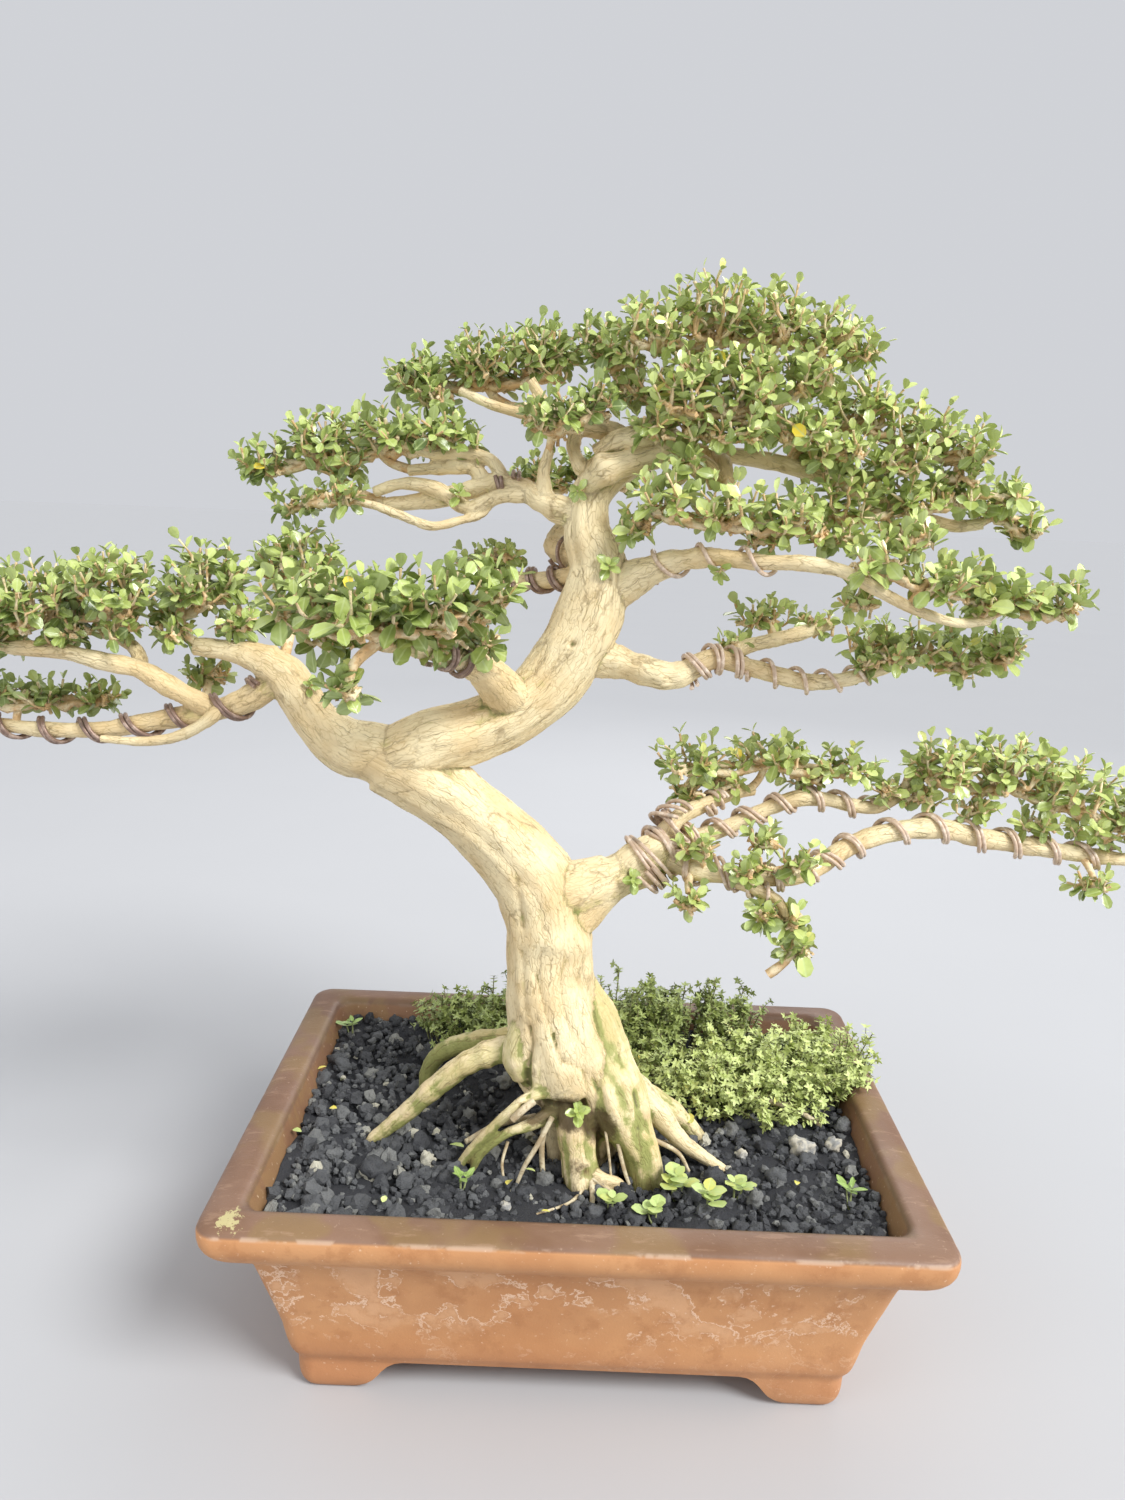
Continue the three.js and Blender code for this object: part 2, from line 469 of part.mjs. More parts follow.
// A shoot: a stalk that opens into a big pair of leaves with a small pair across it, all raised.
function shoot(leaf, size, rise, stalk, grow = 0) {
  const points = [];
  const add = (x, y, z) => points.push(x, y, z) / 3 - 1;
  const sheet = (x, y, side) => add(x, y, Math.hypot(x, y) * Math.tan(rise) + side * (leaf.sheet / 2 + grow));
  const notch = leaf.notch * size * 0.7;
  const [top, bottom] = [1, -1].map(side => [0, 1, 2, 3].map(k => {
    const [dx, dy] = [[1, 0], [0, 1], [-1, 0], [0, -1]][k];
    const share = size * (k % 2 ? leaf.small : 1);
    const out = (along, across) => sheet(dx * along - dy * across, dy * along + dx * across, side);
    const [long, wide] = [leaf.length * share + grow, leaf.half * share + grow];
    const edge = k % 2 ? [out(long, 0)] : [out(long * 0.55, -wide), out(long, 0), out(long * 0.55, wide)];
    return { edge, notch: sheet((dx - dy) * notch, (dy + dx) * notch, side) };
  }));
  const wide = SHOOT.radius + grow;
  const foot = [[0, 1], [-1, 0], [0, -1], [1, 0]].map(([x, y]) => add((x + y) * wide * 0.7, (y - x) * wide * 0.7, -stalk));
  const index = [];
  const face = corners => corners.slice(2).forEach((c, k) => index.push(corners[0], corners[k + 1], c));
  face(top.map(leafOf => leafOf.notch));
  face([...foot].reverse());
  top.forEach(({ edge, notch: after }, k) => {
    const [low, before, lowBefore] = [bottom[k], top[(k + 3) % 4].notch, bottom[(k + 3) % 4].notch];
    const [upper, lower] = [[before, ...edge, after], [lowBefore, ...low.edge, low.notch]];
    face(upper);
    face([...lower].reverse());
    face([low.notch, lowBefore, foot[(k + 3) % 4], foot[k]]);
    upper.slice(1).forEach((corner, i) => face([upper[i], lower[i], lower[i + 1], corner]));
  });
  const geometry = new THREE.BufferGeometry();
  geometry.setAttribute('position', new THREE.Float32BufferAttribute(points, 3));
  geometry.setIndex(index);
  return geometry;
}

// Sets a geometry with its own Z along a direction, turned about it, at a point.
function settle(geometry, direction, turn, at) {
  const stand = new THREE.Quaternion().setFromUnitVectors(new THREE.Vector3(0, 0, 1), direction);
  geometry.rotateZ(turn).applyQuaternion(stand).translate(at.x, at.y, at.z);
  return solid(geometry);
}

function meets(a, b) {
  const [p, q] = [a.boundingBox(), b.boundingBox()];
  return [0, 1, 2].every(k => p.min[k] < q.max[k] && q.min[k] < p.max[k]) && !a.intersect(b).isEmpty();
}

const centreOf = ([x, y, z]) => new THREE.Vector3(x, y, z);

// A twig of straight lengths from point to point, its surface moved out by grow.
function twig(points, grow = 0) {
  const line = points.map(centreOf);
  return solid(rings(line.length, 4, (j, i) => {
    const way = line[Math.min(j + 1, line.length - 1)].clone().sub(line[Math.max(j - 1, 0)]).normalize();
    const side = new THREE.Vector3(0, 0, 1).cross(way).setLength(1);
    if (Math.abs(way.z) > 0.9) side.set(1, 0, 0).cross(way).normalize();
    const angle = Math.PI / 2 * i;
    const end = j === 0 ? -grow : j === line.length - 1 ? grow : 0;
    return line[j].clone().addScaledVector(way, end)
      .addScaledVector(side, Math.cos(angle) * (points[j][3] + grow))
      .addScaledVector(way.clone().cross(side), Math.sin(angle) * (points[j][3] + grow));
  }));
}

// The entry of a list whose centre is nearest to a point.
function nearest(list, point) {
  const gap = entry => centreOf(entry).distanceTo(centreOf(point));
  return list.reduce((a, b) => (gap(b) < gap(a) ? b : a));
}

// Twigs of a spray: its stems, each led on to the nearest lobe, and a twig through each pad's lobes.
function twigs({ stems, pads }, grow = 0) {
  const thin = ([x, y, z]) => [x, y, z, TWIG.radius];
  const apart = (a, b) => centreOf(a).distanceTo(centreOf(b));
  const paths = stems.map(stem => {
    const lobe = nearest(pads.flat(), stem.at(-1));
    return stem.some(point => apart(point, nearest(pads.flat(), point)) < 4) ? stem : [...stem, thin(lobe)];
  });
  return union(pads.reduce((made, lobes) => made.concat(lobes.length > 1
    ? twig(lobes.map(thin), grow)
    : lump([...lobes[0].slice(0, 3), TWIG.hub], 0.5, grow)), paths.map(path => twig(path, grow))));
}

// Shoots grow out from the twig all over each lobe, on even spiral directions, fewest underneath.
function shootStands({ pads }, leaf, perLobe, seed) {
  const rnd = random(seed);
  return pads.flatMap(lobes => lobes.flatMap(([x, y, z, ...half], i) => {
    const centre = new THREE.Vector3(x, y, z);
    const size = Math.cbrt(half[0] * half[1] * half[2]);
    const count = Math.max(1, Math.round(perLobe * (size / 34) ** 1.4));
    return Array.from({ length: count }, (_, k) => {
      const next = lobes[i + (k % 2 ? 1 : -1)] ?? lobes[i];
      const foot = centre.clone().lerp(centreOf(next), 0.12 + 0.3 * k / count);
      const up = 0.75 - 1.1 * (k + 0.5 * rnd()) / count;
      const around = k * 2.4 + seed + rnd() * 0.5;
      const flat = Math.sqrt(1 - up * up);
      const out = new THREE.Vector3(flat * Math.cos(around) * half[0], flat * Math.sin(around) * half[1], up * half[2]);
      const at = out.multiplyScalar(SHOOT.reach).add(centre);
      const normal = at.clone().sub(foot);
      const stalk = normal.length() + 1;
      const scale = Math.min(1.05, size / 34) * (0.88 + 0.24 * rnd());
      return { leaf, at, stalk, normal: normal.normalize(), turn: rnd() * Math.PI, size: scale, rise: 0.1 + rnd() * 0.35 };
    });
  }));
}

// A shoot that would cross something is turned, then shortened, and left out if it still would.
function place(body, stands, blocked) {
  const solids = [body];
  for (const { leaf, at, stalk, normal, turn, size, rise } of stands) {
    const tries = [[0, 0], [0.8, 0], [1.6, 0], [0, 6], [0.8, 6], [1.6, 12]];
    const stand = ([more, shorter], grow) => settle(shoot(leaf, size, rise, stalk - shorter, grow), normal, turn + more,
      at.clone().addScaledVector(normal, -shorter));
    const free = tries.find(choice => !blocked(stand(choice, 0.6)));
    if (free) solids.push(stand(free, 0));
  }
  return union(solids);
}

function geometryOf(body) {
  const mesh = body.getMesh();
  const geometry = new THREE.BufferGeometry();
  geometry.setAttribute('position', new THREE.BufferAttribute(new Float32Array(mesh.vertProperties), 3));
  geometry.setIndex(Array.from(mesh.triVerts));
  geometry.computeVertexNormals();
  return geometry;
}

const group = new THREE.Group();

function show(name, body, [color, roughness]) {
  const mesh = new THREE.Mesh(geometryOf(body), new THREE.MeshStandardMaterial({ color, roughness, metalness: 0 }));
  mesh.name = name;
  group.add(mesh);
}

function block(x0, x1, y0, y1, z0, z1) {
  return solid(new THREE.BoxGeometry(x1 - x0, y1 - y0, z1 - z0)
    .translate((x0 + x1) / 2, (y0 + y1) / 2, (z0 + z1) / 2));
}

// A stack of rounded rectangles inside the rim's outline.
function rectangles(profile, more = 0) {
  return solid(rings(profile.length, 4 * POT.corner, (j, i) => {
    const [inset, z, radius] = profile[j];
    const quarter = Math.floor(i / POT.corner);
    const angle = Math.PI / 2 * (quarter + (i % POT.corner) / (POT.corner - 1));
    const sx = quarter === 0 || quarter === 3 ? 1 : -1;
    const sy = quarter < 2 ? 1 : -1;
    const x = sx * (POT.width / 2 - inset - more - radius) + radius * Math.cos(angle);
    const y = sy * (POT.depth / 2 - inset - more - radius) + radius * Math.sin(angle);
    return new THREE.Vector3(x, y, z);
  }));
}

// The opening between two feet, cut right through under the pot along Y.
function arch(shift, length) {
  const half = FOOT_ARCH.map(([x, z]) => [x + shift, z]);
  const outline = [...half, ...half.map(([x, z]) => [-x, z]).reverse()];
  const shape = new THREE.Shape(outline.map(([x, z]) => new THREE.Vector2(x, z)));
  const geometry = new THREE.ExtrudeGeometry(shape, { depth: length, bevelEnabled: false });
  return geometry.translate(0, 0, -length / 2).rotateX(Math.PI / 2);
}

const drains = DRAIN.at.map(x => solid(
  new THREE.CylinderGeometry(DRAIN.radius, DRAIN.radius, 60, 12).rotateX(Math.PI / 2).translate(x, 0, 30)));
const recess = rectangles([[FOOT.recess, FOOT.recessTop, 8], [FOOT.recess, -1, 8]]);
const pot = rectangles(POT_WALL)
  .subtract(rectangles(POT_CAVITY))
  .subtract(recess)
  .subtract(solid(arch(0, 500)))
  .subtract(solid(arch(FOOT.onSide, 700).rotateZ(Math.PI / 2)))
  .subtract(union(drains));
show('pot', pot, COLOURS.pot);

// Plastic screens over the drain holes.
const half = DRAIN.screen / 2;
const under = POT.floor + GAP;
DRAIN.at.forEach((x, k) => {
  const holes = [-1, 1].flatMap(i => [-1, 1].map(j => {
    const [cx, cy, s] = [x + i * DRAIN.screen / 4.4, j * DRAIN.screen / 4.4, DRAIN.hole / 2];
    return block(cx - s, cx + s, cy - s, cy + s, under - 1, under + 3);
  }));
  const sheet = block(x - half, x + half, -half, half, under, under + DRAIN.sheet);
  show(`drainScreen${k + 1}`, sheet.subtract(union(holes)), COLOURS.screen);
});

const tree = wood(0);
const treeClear = wood(GAP);
const wires = Object.fromEntries(Object.entries(WIRES).map(([name, spec]) => [name, wire(spec)]));
const wiresClear = union(Object.values(WIRES).map(spec => wire(spec, 0.8)));
show('tree', tree, COLOURS.wood);
Object.entries(wires).forEach(([name, body]) => show(name, body, COLOURS.wire));

// A seedling: its stem stands in the soil and opens into its leaves, a second shoot beside a tall one.
function seedling([x, y, height, shoots, leaf, size], grow = 0) {
  const foot = SOIL.level - 12;
  const top = SOIL.level + SOIL.rough + height;
  if (grow) return limb([[x, y, foot, SHOOT.radius + 0.6], [x, y, SOIL.level, SHOOT.radius + 1.4], [x, y, top, 6]], grow);
  return union(Array.from({ length: shoots }, (_, k) => settle(
    shoot(leaf, size * (1 + 0.3 * k), 0.35, top - foot - 8 * k), new THREE.Vector3(0, 0, 1), x + 0.8 * k,
    new THREE.Vector3(x, y, top - 8 * k))));
}

// Every spray's twigs first, each cut clear of the wood, the wire and the sprays before it.
const beds = { ...SPRAYS, ...COVER };
const bodies = {};
const bodiesClear = {};
for (const [name, spec] of Object.entries(beds)) {
  let body = twigs(spec).subtract(treeClear).subtract(wiresClear);
  for (const other of Object.values(bodiesClear)) if (meets(body, other)) body = body.subtract(other);
  bodies[name] = largest(body);
  bodiesClear[name] = twigs(spec, 0.8);
}

const plants = Object.entries(SEEDLINGS).map(([name, spec]) => [name, seedling(spec)]);
const ground = block(-265, 265, -192, 192, 0, SOIL.level + SOIL.rough + 1);
const leavesClear = {};
Object.entries(beds).forEach(([name, spec], k) => {
  const cover = name in COVER;
  const others = Object.keys(beds).filter(other => other !== name);
  const near = [treeClear, wiresClear, pot, ground, ...plants.map(([, body]) => body)]
    .concat(others.map(other => bodiesClear[other]), others.filter(other => other in leavesClear)
      .map(other => leavesClear[other]));
  const blocked = pair => near.some(other => meets(pair, other));
  const stands = shootStands(spec, cover ? COVER_LEAF : LEAF, cover ? 1.5 : 1.3, k + 3);
  const whole = largest(place(bodies[name], stands, blocked));
  leavesClear[name] = whole;
  show(name, whole, cover ? COLOURS.cover : COLOURS.leaf);
});
plants.forEach(([name, body]) => show(name, body, COLOURS.seedling));

// The grit fills the pot to its rough top, with plain holes for roots, stems and screens.
const grit = random(5);
const across = Math.round(POT.width * 0.91 / SOIL.cell);
const deep = Math.round(POT.depth * 0.91 / SOIL.cell);
const topping = new THREE.BoxGeometry(POT.width * 0.91, POT.depth * 0.9, 200, across, deep, 1);
topping.deleteAttribute('normal');
topping.deleteAttribute('uv');
const stones = mergeVertices(topping.translate(0, 0, SOIL.level - 100), 0.01);
const stone = stones.attributes.position;
for (let k = 0; k < stone.count; k++) {
  if (stone.getZ(k) < SOIL.level - 1) continue;
  const [dx, dy, dz] = [grit() - 0.5, grit() - 0.5, grit() * 2 - 1];
  stone.setXYZ(k, stone.getX(k) + dx * 8, stone.getY(k) + dy * 8, SOIL.level + dz * SOIL.rough);
}
const filling = POT_CAVITY.map(([inset, z, radius], k) => [inset, k === POT_CAVITY.length - 1 ? z + GAP : z, radius]);
const pockets = DRAIN.at.map(x => block(x - half - GAP, x + half + GAP, -half - GAP, half + GAP, 0, under + DRAIN.sheet + GAP));
const holes = Object.values(COVER).map(({ stems }) => twig(stems[0], GAP))
  .concat(Object.values(SEEDLINGS).map(spec => seedling(spec, GAP)));
show('soil', largest(rectangles(filling, GAP)
  .intersect(solid(stones))
  .subtract(treeClear)
  .subtract(union([...pockets, ...holes]))), COLOURS.soil);

// The whole plant stands with the middle of its box over the origin.
const middle = new THREE.Box3().setFromObject(group).getCenter(new THREE.Vector3());
group.position.set(-middle.x, -middle.y, 0);

export default group;
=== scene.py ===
"""Premna bonsai in a rectangular terracotta pot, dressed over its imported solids.

Lengths in the tables are millimetres from the pot's centre, the underside of its feet at zero.
"""

import logging
import math
from dataclasses import dataclass, field
from enum import Enum
from typing import Any, Callable, ClassVar, Iterable, Mapping, Sequence

import bpy
import numpy as np
from mathutils import Matrix, Vector, noise


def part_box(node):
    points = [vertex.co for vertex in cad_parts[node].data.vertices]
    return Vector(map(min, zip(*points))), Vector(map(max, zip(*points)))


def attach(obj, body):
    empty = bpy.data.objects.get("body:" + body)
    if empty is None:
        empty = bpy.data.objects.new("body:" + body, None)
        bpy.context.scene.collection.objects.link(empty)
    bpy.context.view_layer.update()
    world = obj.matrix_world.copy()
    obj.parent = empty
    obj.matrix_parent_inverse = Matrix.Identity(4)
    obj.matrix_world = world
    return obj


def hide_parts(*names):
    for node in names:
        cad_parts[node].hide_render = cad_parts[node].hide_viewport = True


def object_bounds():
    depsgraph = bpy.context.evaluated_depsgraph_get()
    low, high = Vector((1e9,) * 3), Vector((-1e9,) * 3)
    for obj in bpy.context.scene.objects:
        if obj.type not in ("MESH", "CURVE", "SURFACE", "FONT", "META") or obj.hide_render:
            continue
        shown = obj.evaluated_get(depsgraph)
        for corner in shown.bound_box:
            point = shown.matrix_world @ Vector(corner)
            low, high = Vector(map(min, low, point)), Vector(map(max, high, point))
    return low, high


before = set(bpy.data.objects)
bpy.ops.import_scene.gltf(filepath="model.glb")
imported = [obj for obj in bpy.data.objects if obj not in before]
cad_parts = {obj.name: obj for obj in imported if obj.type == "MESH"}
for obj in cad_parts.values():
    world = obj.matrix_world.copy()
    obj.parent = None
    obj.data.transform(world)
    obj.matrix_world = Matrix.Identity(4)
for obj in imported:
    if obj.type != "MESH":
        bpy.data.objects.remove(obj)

LOG = logging.getLogger("bonsai")
MM = 0.001
CAD_BOX = [[float(value) for value in corner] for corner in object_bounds()]
POT_LOW, POT_HIGH = (np.array(corner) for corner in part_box("pot"))
ORIGIN = np.array([*(POT_LOW + POT_HIGH)[:2] / 2, 0.0])
SOIL_LEVEL = 174.0
UP = np.array([0.0, 0.0, 1.0])
WHOLE_TURN = 6.3  # for random angles, a touch over a full turn
GOLDEN_TURN = 2.39996  # the turn from one shoot to the next at which none stands over another

Rows = Sequence[Sequence[float]]
Line = tuple[np.ndarray, np.ndarray]
Colour = tuple[float, float, float]
Twig = tuple[float, float, int]

# Grown wood: centre and radius of each limb along its length, base first.
WOOD: dict[str, Rows] = {
    "trunk": (
        (6, -52, 120, 30), (4, -52, 185, 33), (4, -55, 222, 38), (0, -57, 246, 45), (-14, -57, 272, 49),
        (-24, -54, 308, 43.5), (-29, -50, 340, 38.5), (-34, -45, 390, 36.5), (-45, -42, 424, 37),
        (-71, -42, 456, 32), (-105, -45, 489, 29), (-144, -50, 519, 30), (-178, -55, 536, 27),
    ),
    "leftBranch": (
        (-150, -52, 526, 26), (-180, -55, 540, 26), (-210, -58, 548, 22.5), (-232, -60, 566, 18.5),
        (-247, -60, 588, 17), (-260, -60, 606, 16.5), (-281, -58, 618, 12.5), (-307, -52, 623, 8),
        (-337, -48, 625, 7),
    ),
    "upperTrunk": (
        (-165, -55, 541, 26), (-139, -52, 552, 28), (-98, -45, 564, 26), (-56, -38, 588, 26),
        (-27, -30, 623, 28), (-8, -24, 664, 28), (-2, -18, 699, 25), (-13, -12, 731, 19.5),
        (-12, -8, 756, 17), (0, -4, 777, 18), (22, 0, 795, 18), (45, 4, 805, 16), (63, 8, 804, 10),
    ),
    "leftLow": (
        (-262, -60, 606, 12), (-279, -60, 591, 11.5), (-301, -60, 579, 10), (-332, -58, 570, 9),
        (-371, -54, 561, 8), (-412, -48, 552, 7), (-467, -40, 547, 7), (-514, -32, 548, 6), (-556, -26, 549, 4),
    ),
    "leftHigh": (
        (-318, -60, 573, 9), (-355, -66, 594, 8.5), (-376, -70, 607, 8), (-407, -74, 614, 7),
        (-441, -78, 622, 6.5), (-477, -80, 623, 5.5), (-505, -80, 626, 4.5),
    ),
    "leftHighFork": ((-374, -68, 605, 6), (-386, -50, 620, 5.5), (-407, -35, 628, 5), (-434, -22, 631, 3.8)),
    "leftUnder": (
        (-311, -66, 577, 6), (-322, -80, 566, 5), (-339, -87, 557, 4.5), (-363, -90, 552, 4), (-404, -92, 553, 3),
    ),
    "frontLeft": (
        (-73, -45, 589, 20), (-92, -85, 619, 14), (-109, -115, 634, 10), (-128, -150, 644, 8),
        (-146, -175, 650, 6.5),
    ),
    "thinBack": ((-10, -12, 696, 8), (-53, 20, 685, 7), (-90, 50, 685, 6.4), (-112, 70, 687, 5.5)),
    "rearBranch": ((-14, 0, 708, 11), (-40, 38, 712, 10), (-34, 85, 728, 8.4), (-10, 118, 748, 6.3)),
    "upperLeft": (
        (-24, -10, 743, 13), (-50, -4, 752, 10), (-70, 2, 764, 8), (-92, 6, 767, 7), (-115, 10, 760, 7.3),
        (-141, 14, 753, 8), (-169, 18, 748, 7), (-190, 20, 745, 6),
    ),
    "upperLeftBraid": (
        (-54, 2, 758, 6.5), (-88, -6, 756, 6), (-116, -4, 746, 6), (-142, 4, 760, 5.6), (-172, 8, 764, 5),
        (-198, 14, 756, 4.4),
    ),
    "upperLeftBranchlet": (
        (-84, 6, 768, 5.5), (-98, 8, 786, 5), (-122, 8, 792, 5), (-150, 10, 790, 4.4), (-176, 10, 798, 4),
    ),
    "topLeftLow": (
        (-4, 14, 812, 6.5), (-36, 14, 816, 5.8), (-66, 18, 824, 5), (-98, 26, 832, 4.4), (-128, 36, 844, 3.8),
    ),
    "topLeftCross": ((-30, 14, 818, 5), (-52, -4, 832, 4.6), (-66, -6, 852, 4.2)),
    "upperLeftFork": ((-99, 8, 764, 5.5), (-113, 12, 779, 6.8), (-142, 15, 778, 6), (-170, 18, 775, 4.5)),
    "upperLeftLoop": (
        (-90, 4, 764, 4), (-101, -8, 743, 3.6), (-122, -14, 735, 3.5), (-144, -18, 730, 3.8),
        (-172, -14, 738, 3.8), (-197, -8, 746, 3.4),
    ),
    "centreShoot": ((-48, -4, 751, 7), (-52, -8, 777, 5), (-47, -12, 797, 3.8)),
    "topLeft": ((28, 0, 801, 8), (3, 15, 815, 7), (-27, 30, 823, 6), (-67, 45, 829, 5.4), (-90, 51, 834, 5)),
    "knotLow": ((-16, -20, 768, 9), (2, -26, 782, 10), (24, -26, 788, 9.5), (46, -18, 794, 8), (62, -6, 800, 6)),
    "knotHigh": ((-8, -14, 794, 8), (12, -20, 806, 9), (34, -20, 808, 8.5), (56, -8, 804, 7)),
    "knotDrop": ((40, -18, 800, 8), (62, -22, 794, 7.5), (84, -22, 786, 7), (92, -20, 770, 6)),
    "knotBack": ((-20, -6, 780, 7), (-28, 6, 800, 6), (-22, 14, 820, 5)),
    "apex": ((36, 2, 805, 15), (53, 2, 838, 10), (63, 5, 862, 7.5), (72, 8, 882, 6)),
    "rightTop": (
        (50, 6, 802, 9.5), (80, 12, 799, 6.8), (115, 18, 797, 7), (159, 22, 791, 7.2), (204, 26, 778, 6.2),
        (251, 30, 761, 5.7), (286, 34, 750, 5.3), (313, 37, 745, 5.3), (336, 38, 748, 4.8),
    ),
    "rightTopFork": ((92, 14, 798, 7), (97, -8, 790, 7), (100, -30, 774, 6)),
    "rightMiddle": (
        (8, -20, 682, 20), (40, -36, 701, 12.4), (63, -50, 711, 8.5), (90, -62, 715, 7.3), (124, -75, 713, 6.8),
        (157, -85, 714, 6), (187, -92, 709, 5.5), (212, -95, 697, 5), (240, -92, 684, 4.4), (285, -72, 671, 4),
        (318, -56, 672, 3.8),
    ),
    "rightLower": (
        (-11, -25, 627, 20), (19, -28, 622, 13), (48, -32, 615, 12), (68, -32, 614, 10.5), (97, -28, 628, 8.5),
        (121, -26, 624, 7.7), (152, -22, 616, 7.3), (180, -18, 610, 7), (206, -14, 611, 6.5), (232, -10, 617, 6),
        (262, -5, 627, 4.8),
    ),
    "rightLowerFork": (
        (104, -22, 627, 7), (128, -8, 637, 6.5), (154, 2, 643, 6.1), (185, 15, 650, 5.7), (206, 24, 656, 5),
    ),
    "bottomRight": (
        (-30, -42, 408, 24), (4, -38, 423, 19), (24, -34, 432, 18.5), (42, -31, 443, 21), (56, -27, 452, 19),
        (70, -22, 460, 13),
    ),
    "branchCollar": (
        (-40, -44, 411, 30), (-20, -44, 416, 27.5), (-3, -43, 423, 24.5), (13, -39, 428, 21.5),
        (29, -35, 435, 18), (44, -31, 443, 14),
    ),
    "collarUnder": ((-24, -46, 390, 27), (-12, -46, 402, 23), (2, -44, 415, 20), (20, -38, 428, 17)),
    "collarOver": ((-32, -44, 420, 29), (-15, -46, 423, 25.5), (2, -43, 429, 21.5), (18, -38, 436, 18)),
    "bottomRightTop": (
        (60, -20, 458, 11), (79, -15, 484, 8), (100, -7, 493, 6.8), (122, 4, 500, 6), (148, 12, 505, 5),
    ),
    "bottomRightBack": (
        (62, -18, 455, 11), (95, -6, 462, 8), (120, 2, 469, 7.2), (145, 8, 480, 6.8), (165, 12, 489, 6.8),
        (187, 14, 497, 7.2), (212, 17, 497, 6.8), (240, 21, 491, 6.4), (266, 26, 489, 6.2), (284, 28, 500, 5.6),
    ),
    "bottomRightFront": (
        (62, -24, 452, 13), (89, -38, 444, 9), (115, -49, 443, 8), (146, -50, 442, 8), (175, -45, 442, 7.5),
        (201, -35, 449, 8), (217, -27, 458, 8.4), (239, -16, 467, 8.5), (264, -8, 473, 9), (290, -2, 477, 9),
        (323, 4, 476, 8.6), (354, 10, 468, 8.7), (386, 14, 463, 8.3), (431, 18, 456, 7.4), (478, 22, 450, 7),
        (523, 26, 447, 5.6), (562, 30, 448, 3.5),
    ),
    "hangingTwig": ((122, -52, 440, 6), (144, -62, 435, 5.2), (162, -68, 428, 4.3), (170, -71, 414, 3.6)),
    "rootLeft": (
        (-30, -60, 268, 16), (-66, -61, 275, 12), (-100, -60, 261, 10), (-130, -57, 234, 9.5),
        (-158, -54, 204, 8), (-187, -52, 176, 6.5), (-198, -51, 162, 4),
    ),
    "rootLeftBack": (
        (-34, -40, 268, 14), (-70, -24, 265, 11.5), (-102, -8, 254, 10), (-123, 6, 240, 9), (-140, 18, 221, 8),
        (-149, 28, 195, 7), (-152, 36, 162, 5),
    ),
    "rootThin": (
        (-18, -84, 254, 10), (-40, -100, 254, 6), (-58, -104, 242, 5), (-80, -100, 216, 4.4),
        (-102, -92, 182, 4), (-108, -90, 166, 3),
    ),
    "rootThinLow": (
        (-16, -88, 236, 9), (-40, -98, 226, 5), (-64, -100, 216, 4.2), (-86, -96, 192, 3.8), (-94, -92, 170, 3),
    ),
    "collarLeft": ((-42, -66, 330, 10), (-50, -72, 300, 15), (-53, -76, 276, 16), (-48, -78, 260, 12)),
    "collarMiddle": ((-34, -80, 306, 12), (-33, -84, 276, 17), (-30, -88, 255, 14)),
    "boss": ((-20, -76, 312, 14), (-15, -83, 278, 18), (-11, -88, 253, 18)),
    "rootFront": (
        (-4, -78, 250, 22), (-3, -92, 226, 17), (0, -99, 203, 15.5), (3, -104, 184, 17), (6, -106, 160, 15),
    ),
    "rootFrontToe": ((4, -106, 186, 10), (18, -116, 179, 7), (30, -122, 172, 5.5), (38, -128, 162, 4)),
    "rootFrontKnuckle": ((6, -108, 188, 9), (22, -112, 184, 6), (36, -110, 179, 4.5), (42, -110, 170, 3.5)),
    "rootRight": (
        (-14, -50, 340, 22), (0, -55, 304, 29), (12, -63, 270, 31), (28, -76, 246, 28), (37, -83, 230, 25),
        (47, -89, 213, 19), (56, -92, 196, 16), (60, -94, 178, 15.5), (62, -94, 156, 16),
    ),
    "rootRightLong": (
        (40, -55, 244, 16), (68, -62, 222, 11), (92, -70, 198, 7.6), (128, -79, 177, 5), (144, -83, 166, 4),
    ),
    "rootRightBack": ((16, -42, 250, 22), (58, -32, 220, 14), (96, -24, 192, 9), (120, -18, 164, 7)),
    "rootRear": ((-14, -34, 268, 26), (-26, 4, 236, 18), (-38, 40, 204, 13), (-48, 66, 164, 9)),
    "rootRearRight": ((10, -30, 262, 24), (26, 6, 226, 17), (44, 34, 190, 10), (54, 48, 162, 7)),
}

# Burrs, healed cuts and swellings of the wood: centre on its skin, radius, and height.
BURRS: Rows = (
    (-8, -72, 384, 16, 7), (-22, -56, 638, 11, 4), (56, -46, 612, 15, 6), (-68, -76, 488, 18, 5),
    (-8, -52, 470, 22, 6), (2, -38, 778, 14, 8), (24, -28, 806, 12, 6), (46, -26, 798, 10, 5),
    (-8, -34, 792, 10, 5), (-62, -60, 594, 14, 4),
    (-118, -74, 512, 12, 4), (26, -58, 462, 12, 4), (-30, -81, 386, 10, 4), (60, -96, 240, 8, 5),
    (-246, -74, 590, 12, 4), (-168, -80, 548, 12, 3), (-12, -50, 690, 14, 3), (-150, -76, 540, 16, 4),
    (-62, -6, 762, 9, 3), (-92, 0, 772, 9, 3), (-116, 4, 764, 8, 2.5), (-141, 8, 758, 8, 2.5),
    (-128, 10, 784, 7, 2), (8, -46, 640, 14, 3), (20, -112, 262, 14, 4), (2, -122, 180, 9, 3),
    (-210, -70, 566, 14, 3),
)

# Hollows: centre, radius and depth of the dips pressed into the wood, healed scars among them.
HOLLOWS: Rows = (
    (-9, -75, 385, 6, 5), (60, -48, 612, 7, 5), (2, -42, 778, 5, 5), (-22, -58, 640, 6, 5), (8, -120, 194, 4, 4),
    (-68, -84, 490, 7, 3), (28, -104, 200, 10, 8), (-32, -70, 470, 6, 3),
)

